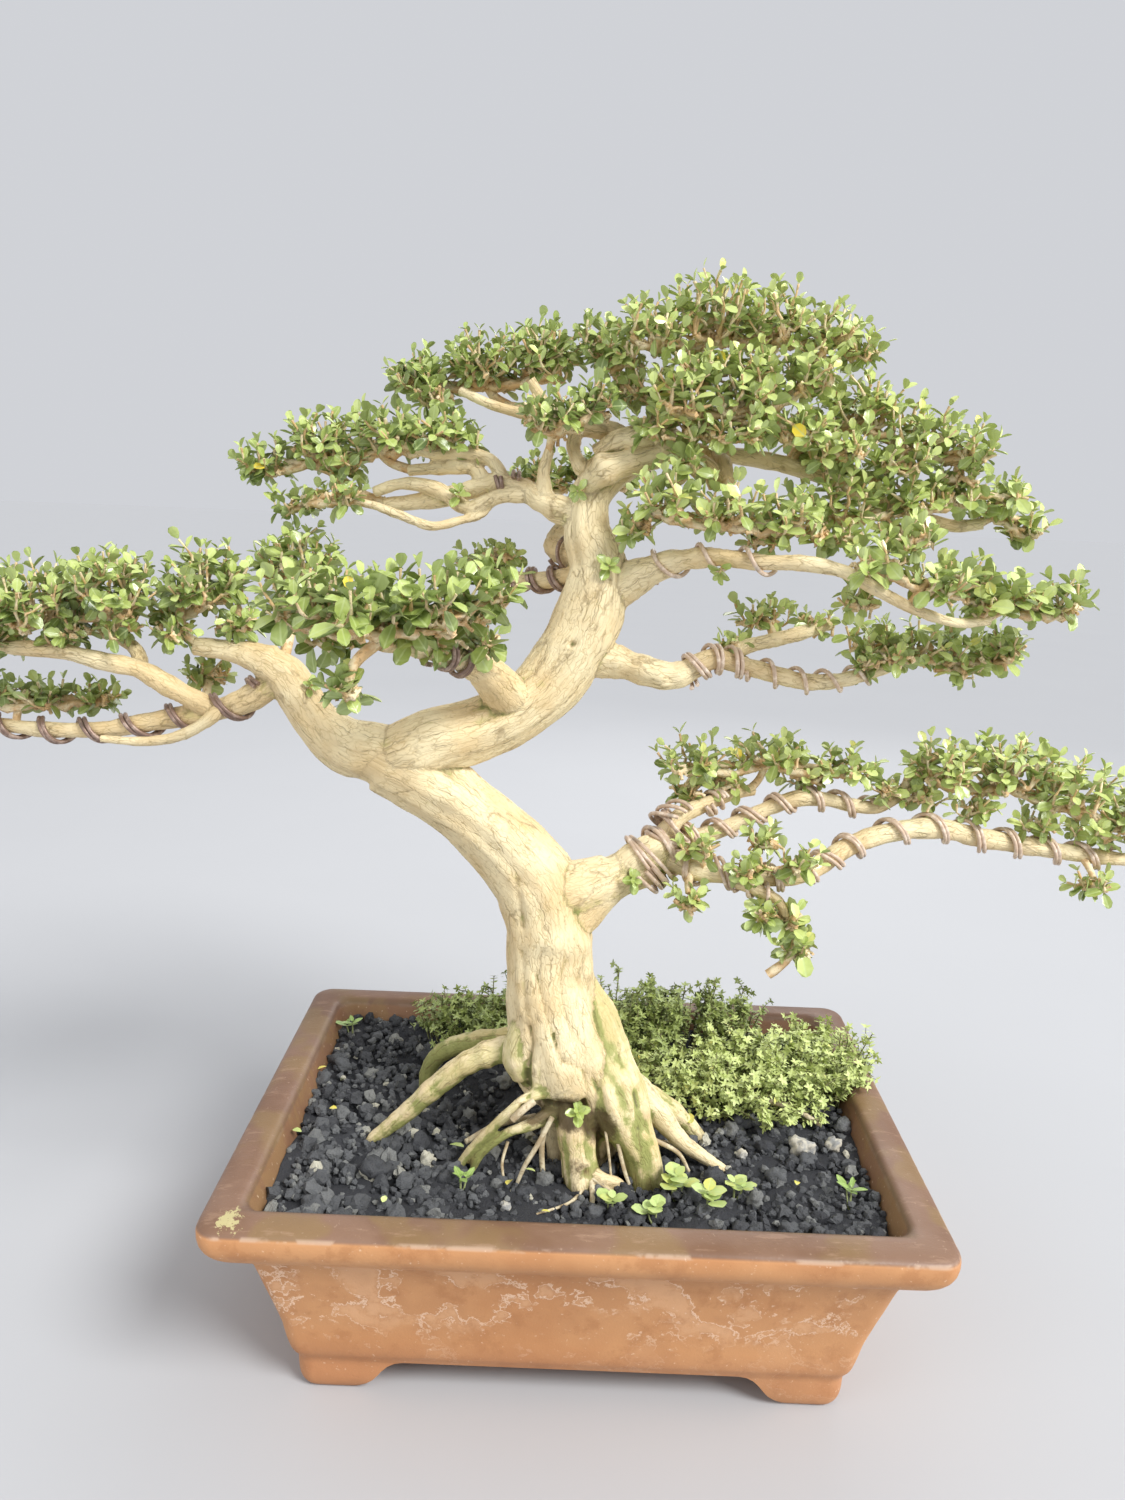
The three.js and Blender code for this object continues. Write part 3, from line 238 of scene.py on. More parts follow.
# Lines pressed into the front of the trunk: their course in X and Z, half width, and depth.
GROOVES: Sequence[tuple[Rows, float, float]] = (
    (((-43, 359), (-37, 341), (-30, 318), (-21, 298)), 2.2, 2.2),
    (((-5, 354), (5, 333), (16, 310), (26, 290), (35, 278)), 6.0, 3.4),
    (((-47, 312), (-44, 298), (-46, 284), (-47, 272), (-46, 256)), 3.0, 3.2),
    (((-26, 309), (-23, 295), (-19, 288), (-9, 286), (1, 279), (5, 263), (4, 248)), 2.4, 2.2),
    (((-48, 246), (-30, 245), (-18, 244), (3, 245)), 3.4, 5.5),
    (((2, 248), (6, 234), (12, 222)), 4.0, 6.0), (((49, 256), (51, 243), (53, 229)), 4.6, 4.4),
    (((-56, 376), (-54, 349), (-51, 326)), 3.0, 1.8), (((-17, 373), (-22, 355), (-18, 332), (-8, 305)), 2.4, 1.6),
    (((-62, 440), (-58, 420), (-56, 398)), 3.0, 2.0), (((10, 270), (18, 256), (20, 240)), 3.0, 2.0),
    (((-18, 200), (-16, 186), (-12, 172)), 3.0, 3.0),
)

# How mossy a limb is, all over it.
MOSS: dict[str, float] = {
    "rootLeftBack": 0.62, "rootThin": 0.42, "rootThinLow": 0.5, "rootLeft": 0.32, "collarLeft": 0.3,
    "collarMiddle": 0.2, "boss": 0.18, "rootFront": 0.18, "rootRight": 0.28, "rootRightLong": 0.1,
    "bottomRight": 0.16, "branchCollar": 0.14, "leftLow": 0.06, "upperLeft": 0.1, "bottomRightFront": 0.1,
    "rootRightBack": 0.3,
}

# Wire wound on the branches: branch, stretch as fractions of its length, turns, start angle, strands, slack.
WIRES: dict[str, Sequence[tuple[str, float, float, float, float, int, float]]] = {
    "wireLeftLow": (("leftLow", 0.05, 0.93, 6.7, 0.4, 2, 1),),
    "wireFrontLeft": (("frontLeft", 0.5, 0.8, 2.2, 0.2, 2, 1),),
    "wireThinBack": (("thinBack", 0.18, 0.6, 2.2, 0, 2, 1.3),),
    "wireRear": (("rearBranch", 0.1, 0.24, 1.1, 0.5, 1, 2.5),),
    "wireUpperLeft": (("upperLeft", 0.31, 0.4, 1.0, 0.5, 2, 1), ("upperTrunk", 0.87, 0.9, 1.0, 2.4, 2, 2)),
    "wireRightMiddle": (("rightMiddle", 0.1, 0.42, 3, 2.2, 1, 1),),
    "wireRightLower": (("rightLower", 0.5, 0.9, 4.2, 0.3, 1, 1), ("rightLower", 0.3, 0.5, 3.4, 1.2, 2, 2)),
    "wireBottomRight": (("bottomRight", 0.66, 1, 2.6, 0, 3, 6), ("bottomRightTop", 0.0, 0.24, 2.8, 1, 3, 9),
                        ("bottomRightBack", 0.01, 0.12, 1.6, 2, 2, 7), ("bottomRightTop", 0.5, 0.7, 1, 0, 2, 2)),
    "wireBottomRightBack": (
        ("bottomRightBack", 0.04, 0.88, 6.6, 0, 2, 1.4), ("bottomRightTop", 0.5, 0.8, 2.0, 0, 1, 1),
    ),
    "wireBottomRightFront": (
        ("bottomRightFront", 0.17, 0.38, 4, 1, 2, 2), ("bottomRightFront", 0.02, 0.14, 2.2, 0.4, 2, 4),
        ("hangingTwig", 0.1, 0.7, 2.2, 0, 1, 1),
    ),
    "wireBottomRightEnd": (("bottomRightFront", 0.4, 0.86, 6.4, 0.5, 2, 1.6),),
}

# Foliage sprays: leaf length, the leafy stem's paths, and the pads of lobes (centre, half sizes).
SPRAYS: dict[str, tuple[float, Sequence[Rows], Sequence[Rows]]] = {
    "sprayLeftFar": (13, [((-498, -80, 625, 4.4), (-512, -72, 640, 4), (-512, -62, 656, 4))],
                     [((-520, -60, 656, 40, 54, 33), (-455, -72, 664, 43, 58, 35), (-396, -68, 676, 36, 52, 40))]),
    "sprayLeftMiddle": (14, [((-330, -48, 625, 5), (-345, -48, 634, 4.5), (-350, -48, 660, 4))],
                        [((-326, -46, 683, 40, 46, 36), (-366, -20, 655, 22, 26, 22))]),
    "sprayLeftRear": (14, [((-262, -54, 616, 5), (-262, -30, 640, 5), (-262, -4, 690, 4))],
                      [((-262, 2, 698, 40, 44, 34),)]),
    "sprayLeftLow": (14, [((-500, -34, 547, 4), (-497, -30, 566, 4), (-490, -28, 578, 4))],
                     [((-524, -34, 578, 30, 30, 17), (-478, -26, 577, 30, 26, 15), (-434, -18, 576, 28, 22, 12))]),
    "sprayLeftInner": (14, [((-332, -58, 570, 4), (-334, -34, 580, 4), (-338, -16, 596, 3.5))],
                       [((-338, -12, 600, 27, 22, 14),)]),
    "sprayFrontLeft": (17.5, [((-142, -172, 649, 5.5), (-160, -196, 655, 5), (-166, -204, 678, 4.5)),
                            ((-158, -194, 655, 5), (-173, -207, 640, 4.5), (-177, -210, 622, 4))],
                       [((-214, -188, 681, 34, 45, 31), (-166, -208, 682, 36, 50, 32), (-118, -192, 686, 37, 48, 35),
                         (-80, -166, 697, 23, 28, 16)), ((-180, -210, 626, 15, 13, 12),)]),
    "sprayThinBack": (14, [((-108, 67, 687, 4.5), (-116, 78, 690, 4), (-120, 86, 696, 3.5))],
                      [((-110, 84, 699, 28, 26, 17),)]),
    "sprayRear": (14, [((-14, 112, 745, 5), (-2, 128, 758, 4.5), (4, 138, 776, 4))],
                  [((6, 146, 786, 46, 40, 28), (-58, 140, 778, 36, 34, 22))]),
    "sprayUpperLeft": (13.5, [((-184, 20, 745, 5), (-212, 22, 754, 4.5), (-243, 27, 774, 4), (-280, 32, 778, 3.5)),
                              ((-165, 18, 775, 4.2), (-186, 19, 782, 4), (-200, 20, 796, 3.5))],
                       [((-296, 34, 781, 29, 30, 20), (-244, 30, 799, 35, 42, 32), (-188, 20, 806, 38, 46, 27),
                         (-138, 12, 808, 34, 42, 20))]),
    "sprayUpperLeftLow": (13, [((-190, -9, 744, 3.4), (-212, -6, 748, 3.4), (-240, 4, 750, 3))],
                          [((-258, 8, 750, 30, 18, 10), (-218, -14, 756, 20, 14, 10))]),
    "sprayTopLeft": (12.5, [((-85, 50, 833, 4.6), (-100, 54, 842, 4.2), (-112, 56, 862, 4))],
                     [((-166, 62, 860, 33, 38, 23), (-109, 56, 870, 40, 46, 34), (-52, 46, 880, 34, 46, 34))]),
    "sprayTopMiddle": (12.5, [((0, 16, 816, 5), (-8, 22, 834, 4.5), (-8, 25, 870, 4))],
                       [((-6, 26, 884, 26, 40, 29),)]),
    "sprayCentre": (13, [((-48, -11, 793, 3.8), (-46, -18, 804, 3.8), (-44, -26, 818, 3.5))],
                    [((-44, -34, 824, 34, 34, 25), (-10, -34, 838, 20, 22, 18))]),
    "sprayApex": (12.5, [((70, 7, 877, 5.5), (78, 9, 893, 5), (86, 10, 908, 4))],
                  [((36, -16, 896, 32, 42, 29), (85, 10, 912, 40, 56, 38), (134, 5, 908, 37, 50, 31),
                    (184, -4, 901, 28, 34, 20))]),
    "sprayApexFront": (14, [((58, 2, 848, 5), (66, -22, 850, 4.5), (80, -34, 850, 4))],
                       [((58, -44, 843, 32, 40, 26), (112, -40, 846, 36, 42, 30), (160, -32, 862, 26, 34, 24))]),
    "sprayRightUpper": (13.5, [((159, 22, 792, 5), (164, 20, 806, 4.5), (176, 16, 822, 4))],
                        [((172, 18, 824, 27, 38, 18), (214, 16, 846, 36, 44, 32), (259, 8, 824, 37, 42, 30),
                          (303, 2, 812, 28, 32, 21))]),
    "sprayRightMiddle": (14.5, [((200, 26, 779, 4.6), (202, 4, 776, 4.4), (204, -18, 768, 4))],
                         [((190, -18, 765, 40, 34, 26), (250, -8, 770, 36, 30, 24), (300, 4, 776, 30, 26, 19))]),
    "sprayRightTip": (15, [((331, 38, 747, 4.2), (346, 38, 755, 4), (368, 39, 752, 3.5))],
                      [((342, 34, 768, 26, 30, 18), (374, 38, 750, 23, 26, 20))]),
    "sprayRightCentre": (15, [((99, -26, 777, 5), (100, -44, 766, 4.5), (98, -60, 758, 4))],
                         [((46, -54, 762, 29, 34, 27), (96, -66, 756, 36, 42, 27), (144, -66, 754, 26, 34, 24))]),
    "sprayMiddleEnd": (15.5, [((240, -92, 684, 3.8), (246, -92, 694, 3.6), (254, -86, 704, 3.4))],
                       [((212, -94, 724, 30, 34, 19), (262, -82, 708, 34, 38, 22))]),
    "sprayMiddleTip": (17, [((313, -58, 672, 3.6), (328, -52, 680, 3.4), (352, -44, 690, 3.2))],
                       [((326, -52, 694, 31, 34, 19), (384, -40, 692, 23, 28, 28))]),
    "sprayLowerEnd": (15, [((257, -6, 626, 4.4), (272, -2, 634, 4.2), (292, 4, 642, 4))],
                      [((240, 6, 650, 30, 32, 20), (292, 5, 646, 40, 40, 26), (346, 5, 642, 30, 30, 20))]),
    "sprayLowerFork": (14, [((154, 2, 643, 4.5), (152, 16, 652, 4), (148, 24, 660, 3.6))],
                       [((146, 26, 664, 33, 24, 17),)]),
    "sprayBottomLeft": (14.5, [((143, 11, 504, 4.5), (152, 14, 514, 4), (158, 15, 530, 3.8))],
                        [((88, -4, 536, 33, 32, 23), (160, 15, 540, 40, 36, 21), (226, 22, 530, 37, 32, 18))]),
    "sprayBottomFar": (15, [((281, 28, 497, 5), (290, 28, 510, 4.8), (296, 27, 530, 4.5), (316, 26, 540, 4))],
                       [((322, 26, 532, 38, 44, 33), (383, 28, 533, 43, 50, 36), (441, 28, 516, 40, 46, 37),
                         (502, 30, 494, 38, 40, 30), (558, 32, 484, 30, 32, 24))]),
    "sprayBottomInner": (15, [((175, -45, 442, 4.5), (180, -58, 452, 4), (176, -66, 462, 3.6))],
                         [((172, -68, 466, 34, 20, 14),)]),
    "sprayBottomUnder": (14, [((455, 20, 453, 4.5), (460, 8, 442, 4), (462, 4, 436, 3.6))],
                         [((462, 4, 433, 25, 18, 13),)]),
    "sprayHanging": (17, [((169, -71, 417, 3.4), (178, -72, 400, 3.4), (176, -74, 382, 3.2), (162, -75, 367, 4.6),
                           (157, -75, 363, 4.4))],
                     [((172, -72, 416, 13, 14, 9),), ((184, -74, 391, 19, 18, 14),)]),
    "sprayHangingSmall": (14, [((89, -38, 444, 4), (86, -56, 436, 3.6), (86, -64, 430, 3.2))],
                          [((86, -66, 428, 18, 14, 13),)]),
}

# Lesser lobes between the pads of a spray, each on a twig of its own from the nearest wood.
FILLERS: dict[str, Rows] = {
    "sprayApex": ((37, -10, 850, 28, 30, 20), (12, 0, 877, 20, 26, 18), (205, -4, 888, 22, 26, 14)),
    "sprayApexFront": (
        (71, -34, 866, 30, 34, 18), (117, -30, 870, 30, 34, 18), (108, -46, 819, 34, 34, 17),
        (73, -40, 820, 26, 28, 16), (150, -44, 820, 32, 32, 18), (34, -40, 818, 22, 26, 15),
        (165, -20, 880, 20, 24, 14),
    ),
    "sprayRightUpper": ((196, -30, 807, 34, 32, 17), (245, -16, 800, 34, 30, 17), (298, 0, 790, 24, 24, 12),
                        (180, 30, 800, 30, 30, 16)),
    "sprayRightMiddle": ((349, 20, 777, 18, 22, 12), (193, -40, 738, 28, 24, 12), (251, -20, 744, 26, 26, 12),
                         (225, 24, 792, 30, 26, 14), (168, -50, 742, 22, 22, 12)),
    "sprayRightCentre": ((132, -60, 736, 22, 24, 10), (66, -40, 792, 20, 22, 12), (28, -50, 742, 16, 18, 12)),
    "sprayMiddleEnd": ((209, -60, 688, 22, 22, 12), (292, -66, 712, 24, 26, 13), (240, -100, 740, 22, 22, 10)),
    "sprayMiddleTip": ((310, -60, 690, 22, 24, 12), (352, -46, 690, 20, 22, 12)),
    "sprayLowerEnd": ((356, 0, 650, 20, 24, 14), (256, -24, 640, 22, 22, 11), (316, 0, 628, 26, 24, 10),
                      (232, -16, 630, 18, 16, 9)),
    "sprayLowerFork": ((196, 24, 660, 22, 18, 10), (116, -10, 640, 12, 12, 8)),
    "sprayTopLeft": ((-152, 40, 842, 24, 26, 9),),
    "sprayTopMiddle": ((14, 10, 850, 16, 22, 14),),
    "sprayUpperLeft": ((-226, 10, 782, 22, 22, 8),),
    "sprayFrontLeft": (
        (-92, -124, 650, 22, 20, 13), (-122, -150, 654, 22, 20, 11), (-196, -170, 656, 24, 26, 12),
        (-140, -176, 664, 24, 26, 12), (-96, -140, 672, 22, 24, 12),
    ),
    "sprayLeftMiddle": ((-300, -50, 650, 26, 26, 12), (-352, -60, 640, 22, 22, 10)),
    "sprayLeftFar": ((-430, -72, 640, 26, 30, 11), (-490, -70, 632, 28, 30, 11), (-392, -66, 646, 20, 26, 10)),
    "sprayThinBack": ((-88, 60, 706, 22, 20, 10),),
    "sprayBottomLeft": ((88, 0, 508, 18, 16, 8), (196, 18, 520, 24, 22, 9), (122, 6, 516, 20, 18, 8)),
    "sprayBottomFar": ((300, 20, 506, 26, 24, 11), (350, 16, 500, 26, 24, 11), (410, 20, 486, 26, 26, 11),
                       (466, 22, 478, 26, 24, 11), (520, 26, 470, 24, 20, 10), (270, 20, 512, 18, 16, 9)),
    "sprayBottomInner": ((93, -60, 474, 18, 16, 12), (134, -66, 456, 16, 14, 9), (150, -46, 478, 18, 16, 10)),
    "sprayHanging": ((150, -74, 420, 9, 9, 7),),
}

# Ground cover beds: the lobes that their fine stems fill (centre, half sizes) and how light they are.
COVER: dict[str, tuple[float, Rows]] = {
    "groundCoverLeft": (0.14, ((-104, 136, 200, 42, 32, 22), (-148, 146, 204, 26, 24, 18),
                               (-74, 122, 212, 26, 26, 24), (-90, 160, 210, 50, 22, 24),
                               (-120, 112, 190, 34, 18, 12))),
    "groundCoverRear": (0.14, ((40, 120, 216, 30, 30, 40), (76, 134, 220, 34, 26, 40), (112, 146, 214, 44, 26, 36),
                               (166, 150, 212, 34, 22, 28), (70, 90, 200, 34, 24, 26))),
    "groundCoverRight": (0.8, ((98, 50, 198, 40, 40, 24), (160, 40, 200, 44, 46, 26), (216, 40, 202, 40, 44, 26),
                               (262, 58, 212, 30, 40, 22), (190, 84, 204, 60, 28, 26), (130, 12, 190, 36, 26, 16),
                               (196, 4, 190, 36, 24, 17), (240, 100, 206, 36, 30, 22))),
}

# Seedlings and weeds: foot on the grit, stem height, leaf length and width, and how light they are.
SEEDLINGS: dict[str, tuple[float, float, float, float, float, float]] = {
    "seedlingA": (29, -149, 13, 12.5, 0.95, 0.9), "seedlingB": (65, -156, 12, 14, 0.95, 0.9),
    "seedlingC": (84, -119, 17, 17.5, 0.95, 1.0), "seedlingD": (110, -135, 14, 17, 0.95, 1.0),
    "seedlingE": (135, -118, 12, 13, 0.95, 0.95), "weedLeft": (-100, -126, 12, 13, 0.42, 0.45),
    "weedRight": (234, -123, 14, 15, 0.42, 0.45), "weedCorner": (-246, 150, 12, 14, 0.55, 0.5),
}


def unit(rows: np.ndarray) -> np.ndarray:
    """Vectors at length one."""
    return rows / np.maximum(np.linalg.norm(rows, axis=-1, keepdims=True), 1e-12)


def placed(points: Iterable[Sequence[float]]) -> np.ndarray:
    """Table points as places in the frame, in metres."""
    return np.array([point[:3] for point in points], float) * MM + ORIGIN


def heading(turn: float, rise: float = 0.0) -> np.ndarray:
    """The level way at an angle from X, and a rise."""
    return np.array([math.cos(turn), math.sin(turn), rise])


def bent(start: np.ndarray, bend: np.ndarray, end: np.ndarray, share: Any) -> np.ndarray:
    """Points at shares of a line that bends towards a point on its way."""
    return (1 - share) ** 2 * start + 2 * share * (1 - share) * bend + share * share * end


def blade_axes(along: np.ndarray, face: np.ndarray, wide: float = 1.0) -> np.ndarray:
    """A leaf's own X, Y and Z.

    Args:
        along: The way that it points, at length one.
        face: About where its upper side faces.
        wide: Its width against that of the modelled blade.

    Returns:
        The axes, a row each.
    """
    face = unit(face - along * face.dot(along))
    return np.array([along, np.cross(face, along) * wide, face])


def tumbled(rng: np.random.Generator) -> np.ndarray:
    """The axes of a stone that lies any way round."""
    return np.array(Matrix.Rotation(rng.uniform(0, WHOLE_TURN), 3, Vector(rng.normal(0, 1, 3))))


def read(items: Any, name: str, width: int, kind: type = float) -> np.ndarray:
    """A property of all of a mesh's points, edges or faces, a row each."""
    values = np.empty(len(items) * width, kind)
    items.foreach_get(name, values)
    return values.reshape(-1, width)


def store(mesh: bpy.types.Mesh, name: str, values: np.ndarray, kind: str = "FLOAT", on: str = "POINT") -> None:
    """Stores an attribute.

    Args:
        mesh: The mesh.
        name: The attribute's name.
        values: A number or a vector for each item.
        kind: The attribute's type.
        on: What it is stored on.
    """
    made = mesh.attributes.new(name, kind, on)
    made.data.foreach_set("vector" if kind == "FLOAT_VECTOR" else "value", values.ravel())


def dressed(piece: bpy.types.Object, material: bpy.types.Material) -> bpy.types.Object:
    """The piece in this material alone."""
    piece.data.materials.clear()
    piece.data.materials.append(material)
    return piece


def modelled(primitive: Callable[..., set[str]], **settings: Any) -> bpy.types.Object:
    """The mesh that one of Blender's primitives adds, with nothing else selected."""
    bpy.ops.object.select_all(action="DESELECT")
    primitive(**settings)
    return bpy.context.object


def activate(*pieces: bpy.types.Object) -> None:
    """Selects these objects alone and makes the first one active."""
    bpy.ops.object.select_all(action="DESELECT")
    for piece in pieces:
        piece.select_set(True)
    bpy.context.view_layer.objects.active = pieces[0]


def apply_modifier(piece: bpy.types.Object, kind: str, **settings: Any) -> None:
    """Adds a modifier with its settings and applies it.

    Args:
        piece: The mesh that it shapes.
        kind: The modifier's type.
        settings: Its properties by name.
    """
    activate(piece)
    made = piece.modifiers.new(kind.title(), kind)
    for name, value in settings.items():
        setattr(made, name, value)
    bpy.ops.object.modifier_apply(modifier=made.name)


def joined(name: str, pieces: Sequence[bpy.types.Object]) -> bpy.types.Object:
    """Several meshes as one.

    Args:
        name: The name of the whole.
        pieces: The meshes; the first one takes in the others.

    Returns:
        The joined object.
    """
    activate(*pieces)
    bpy.ops.object.join()
    whole = bpy.context.object
    whole.name = whole.data.name = name
    return whole


def tubes(name: str, lines: Sequence[Line], roundness: int) -> bpy.types.Object:
    """Round closed tubes along lines, drawn as a curve and turned into a mesh.

    Args:
        name: The object's name.
        lines: The points of each line, in metres, with the radius at each.
        roundness: The curve's bevel resolution, 0 for four sides.

    Returns:
        The mesh object.
    """
    curve = bpy.data.curves.new(name, "CURVE")
    curve.dimensions = "3D"
    curve.bevel_depth = 1.0
    curve.bevel_resolution = roundness
    curve.use_fill_caps = True
    for points, radii in lines:
        spline = curve.splines.new("POLY")
        spline.points.add(len(points) - 1)
        spline.points.foreach_set("co", np.column_stack([points, np.ones(len(points))]).ravel())
        spline.points.foreach_set("radius", np.asarray(radii, float))
    tube = bpy.data.objects.new(name, curve)
    bpy.context.collection.objects.link(tube)
    activate(tube)
    bpy.ops.object.convert(target="MESH")
    return bpy.context.object


class Path:
    """A smooth line through points, with its radius and frame at even steps, as the solids have it."""

    COUNT: ClassVar[int] = 241

    def __init__(self, points: Rows) -> None:
        """Runs the line through the points.

        Args:
            points: Centre and radius of each, in table millimetres.
        """
        knots, radii = placed(points), np.array([point[3] for point in points]) * MM
        line, thick = self._through(knots, radii)
        run = np.concatenate([[0], np.cumsum(np.linalg.norm(np.diff(line, axis=0), axis=1))])
        self.along = np.linspace(0, run[-1], self.COUNT)
        self.at = np.column_stack([np.interp(self.along, run, line[:, axis]) for axis in range(3)])
        self.radius = np.interp(self.along, run, thick)
        self.way = unit(np.gradient(self.at, axis=0))
        first = np.zeros(3)
        first[2 - int(np.argmin(np.abs(self.way[0])[::-1]))] = 1
        side = np.cross(self.way[0], unit(np.cross(self.way[0], first)))
        sides = []
        for way in self.way:
            side = unit(side - way * side.dot(way))
            sides.append(side)
        self.side = np.array(sides)
        self.over = np.cross(self.way, self.side)

    @staticmethod
    def _through(knots: np.ndarray, radii: np.ndarray, fine: int = 24) -> Line:
        """Centripetal spline through the knots.

        Args:
            knots: The points to pass.
            radii: The radius at each.
            fine: Samples in each stretch.

        Returns:
            The sampled points and radii.
        """
        rows = np.vstack([2 * knots[0] - knots[1], knots, 2 * knots[-1] - knots[-2]])
        gaps = np.sqrt(np.linalg.norm(np.diff(rows, axis=0), axis=1))
        t = np.linspace(0, 1, fine, endpoint=False)[:, None]
        line, thick = [], []
        for k in range(len(knots) - 1):
            a, b, c, d = rows[k:k + 4]
            u, v, w = gaps[k:k + 3]
            start = ((b - a) / u - (c - a) / (u + v) + (c - b) / v) * v
            end = ((c - b) / v - (d - b) / (v + w) + (d - c) / w) * v
            square, cube = 3 * c - 3 * b - 2 * start - end, 2 * b - 2 * c + start + end
            line.append(b + start * t + square * t**2 + cube * t**3)
            thick.append(radii[k] + (radii[k + 1] - radii[k]) * t[:, 0])
        return np.vstack([*line, knots[-1:]]), np.concatenate([*thick, radii[-1:]])

    def every(self, step: int) -> Line:
        """Every so many of the points, with their radii."""
        return self.at[::step], self.radius[::step]

    def around(self, share: np.ndarray, angle: np.ndarray, clear: float) -> np.ndarray:
        """Points round the line, at a distance from its skin.

        Args:
            share: Fractions of the length.
            angle: The angle round the line at each.
            clear: How far outside the line's radius they lie.

        Returns:
            The points.
        """
        step = np.clip(share, 0, 1) * (self.COUNT - 1)
        at, side, over = (
            np.column_stack([np.interp(step, np.arange(self.COUNT), rows[:, axis]) for axis in range(3)])
            for rows in (self.at, self.side, self.over)
        )
        reach = (np.interp(step, np.arange(self.COUNT), self.radius) * 1.03 + clear)[:, None]
        return at + reach * (np.cos(angle)[:, None] * side + np.sin(angle)[:, None] * over)


LIMBS = {name: Path(points) for name, points in WOOD.items()}


class Nearest:
    """Where points lie on the limb nearest to them."""

    BLOCK: ClassVar[int] = 4000

    def __init__(self, points: np.ndarray, reach: float = 0.03) -> None:
        """Finds the nearest limb of each point.

        Args:
            points: The points, in metres.
            reach: How far outside a limb's box its points are looked at.
        """
        count = len(points)
        self.gap, self.next_gap = np.full(count, 1.0), np.full(count, 1.0)
        self.radius, self.along, self.angle = np.full(count, 0.01), np.zeros(count), np.zeros(count)
        self.out, self.limb = np.zeros((count, 3)), np.full(count, -1)
        self.past = np.zeros(count, bool)
        for number, path in enumerate(LIMBS.values()):
            wide = path.radius.max() + reach
            low, high = path.at.min(0) - wide, path.at.max(0) + wide
            near = np.flatnonzero(np.all((points > low) & (points < high), axis=1))
            for rows in np.array_split(near, max(1, len(near) // self.BLOCK)):
                self._look(points, rows, number, path)

    def _look(self, points: np.ndarray, rows: np.ndarray, number: int, path: Path) -> None:
        """Measures one block of points against one limb.

        Args:
            points: All the points.
            rows: Which of them to look at.
            number: The limb's number.
            path: Its line.
        """
        if not len(rows):
            return
        apart = points[rows, None, :] - path.at[None, :, :]
        k = np.argmin(np.einsum("ijk,ijk->ij", apart, apart), axis=1)
        offset = points[rows] - path.at[k]
        slide = np.einsum("ij,ij->i", offset, path.way[k])
        past = ((k == 0) & (slide < -1e-3)) | ((k == path.COUNT - 1) & (slide > 1e-3))
        flat = np.where(past[:, None], offset, offset - path.way[k] * slide[:, None])
        gap = np.linalg.norm(flat, axis=1) - path.radius[k]
        better = gap < self.gap[rows]
        self.next_gap[rows] = np.where(better, self.gap[rows], np.minimum(self.next_gap[rows], gap))
        best, k, flat = rows[better], k[better], flat[better]
        self.gap[best], self.limb[best], self.past[best] = gap[better], number, past[better]
        self.radius[best], self.along[best], self.out[best] = path.radius[k], path.along[k], unit(flat)
        across = np.einsum("ij,ij->i", flat, path.over[k]), np.einsum("ij,ij->i", flat, path.side[k])
        self.angle[best] = np.arctan2(*across)


@dataclass
class Part:
    """A modelled shape as arrays, ready to be copied many times, its lower side apart in the UV map."""

    LOWER_SIDE: ClassVar[float] = 2.0

    points: np.ndarray
    faces: np.ndarray
    uv: np.ndarray
    edge: np.ndarray

    @classmethod
    def taken(cls, shape: bpy.types.Object, edge: np.ndarray | None = None) -> "Part":
        """Reads a mesh whose faces all have the same number of corners and removes the object.

        Args:
            shape: The modelled object.
            edge: Which corners lie on a sharp outline.

        Returns:
            The arrays.
        """
        points = read(shape.data.vertices, "co", 3)
        faces = np.array([face.vertices[:] for face in shape.data.polygons])
        lower = read(shape.data.polygons, "normal", 3)[:, 2] < 0
        uv = points[faces][:, :, :2] + [0, 0.5]
        uv[:, :, 0] += np.where(lower, cls.LOWER_SIDE, 0.0)[:, None]
        bpy.data.objects.remove(shape)
        return cls(points, faces, uv, np.zeros(len(points), bool) if edge is None else edge)


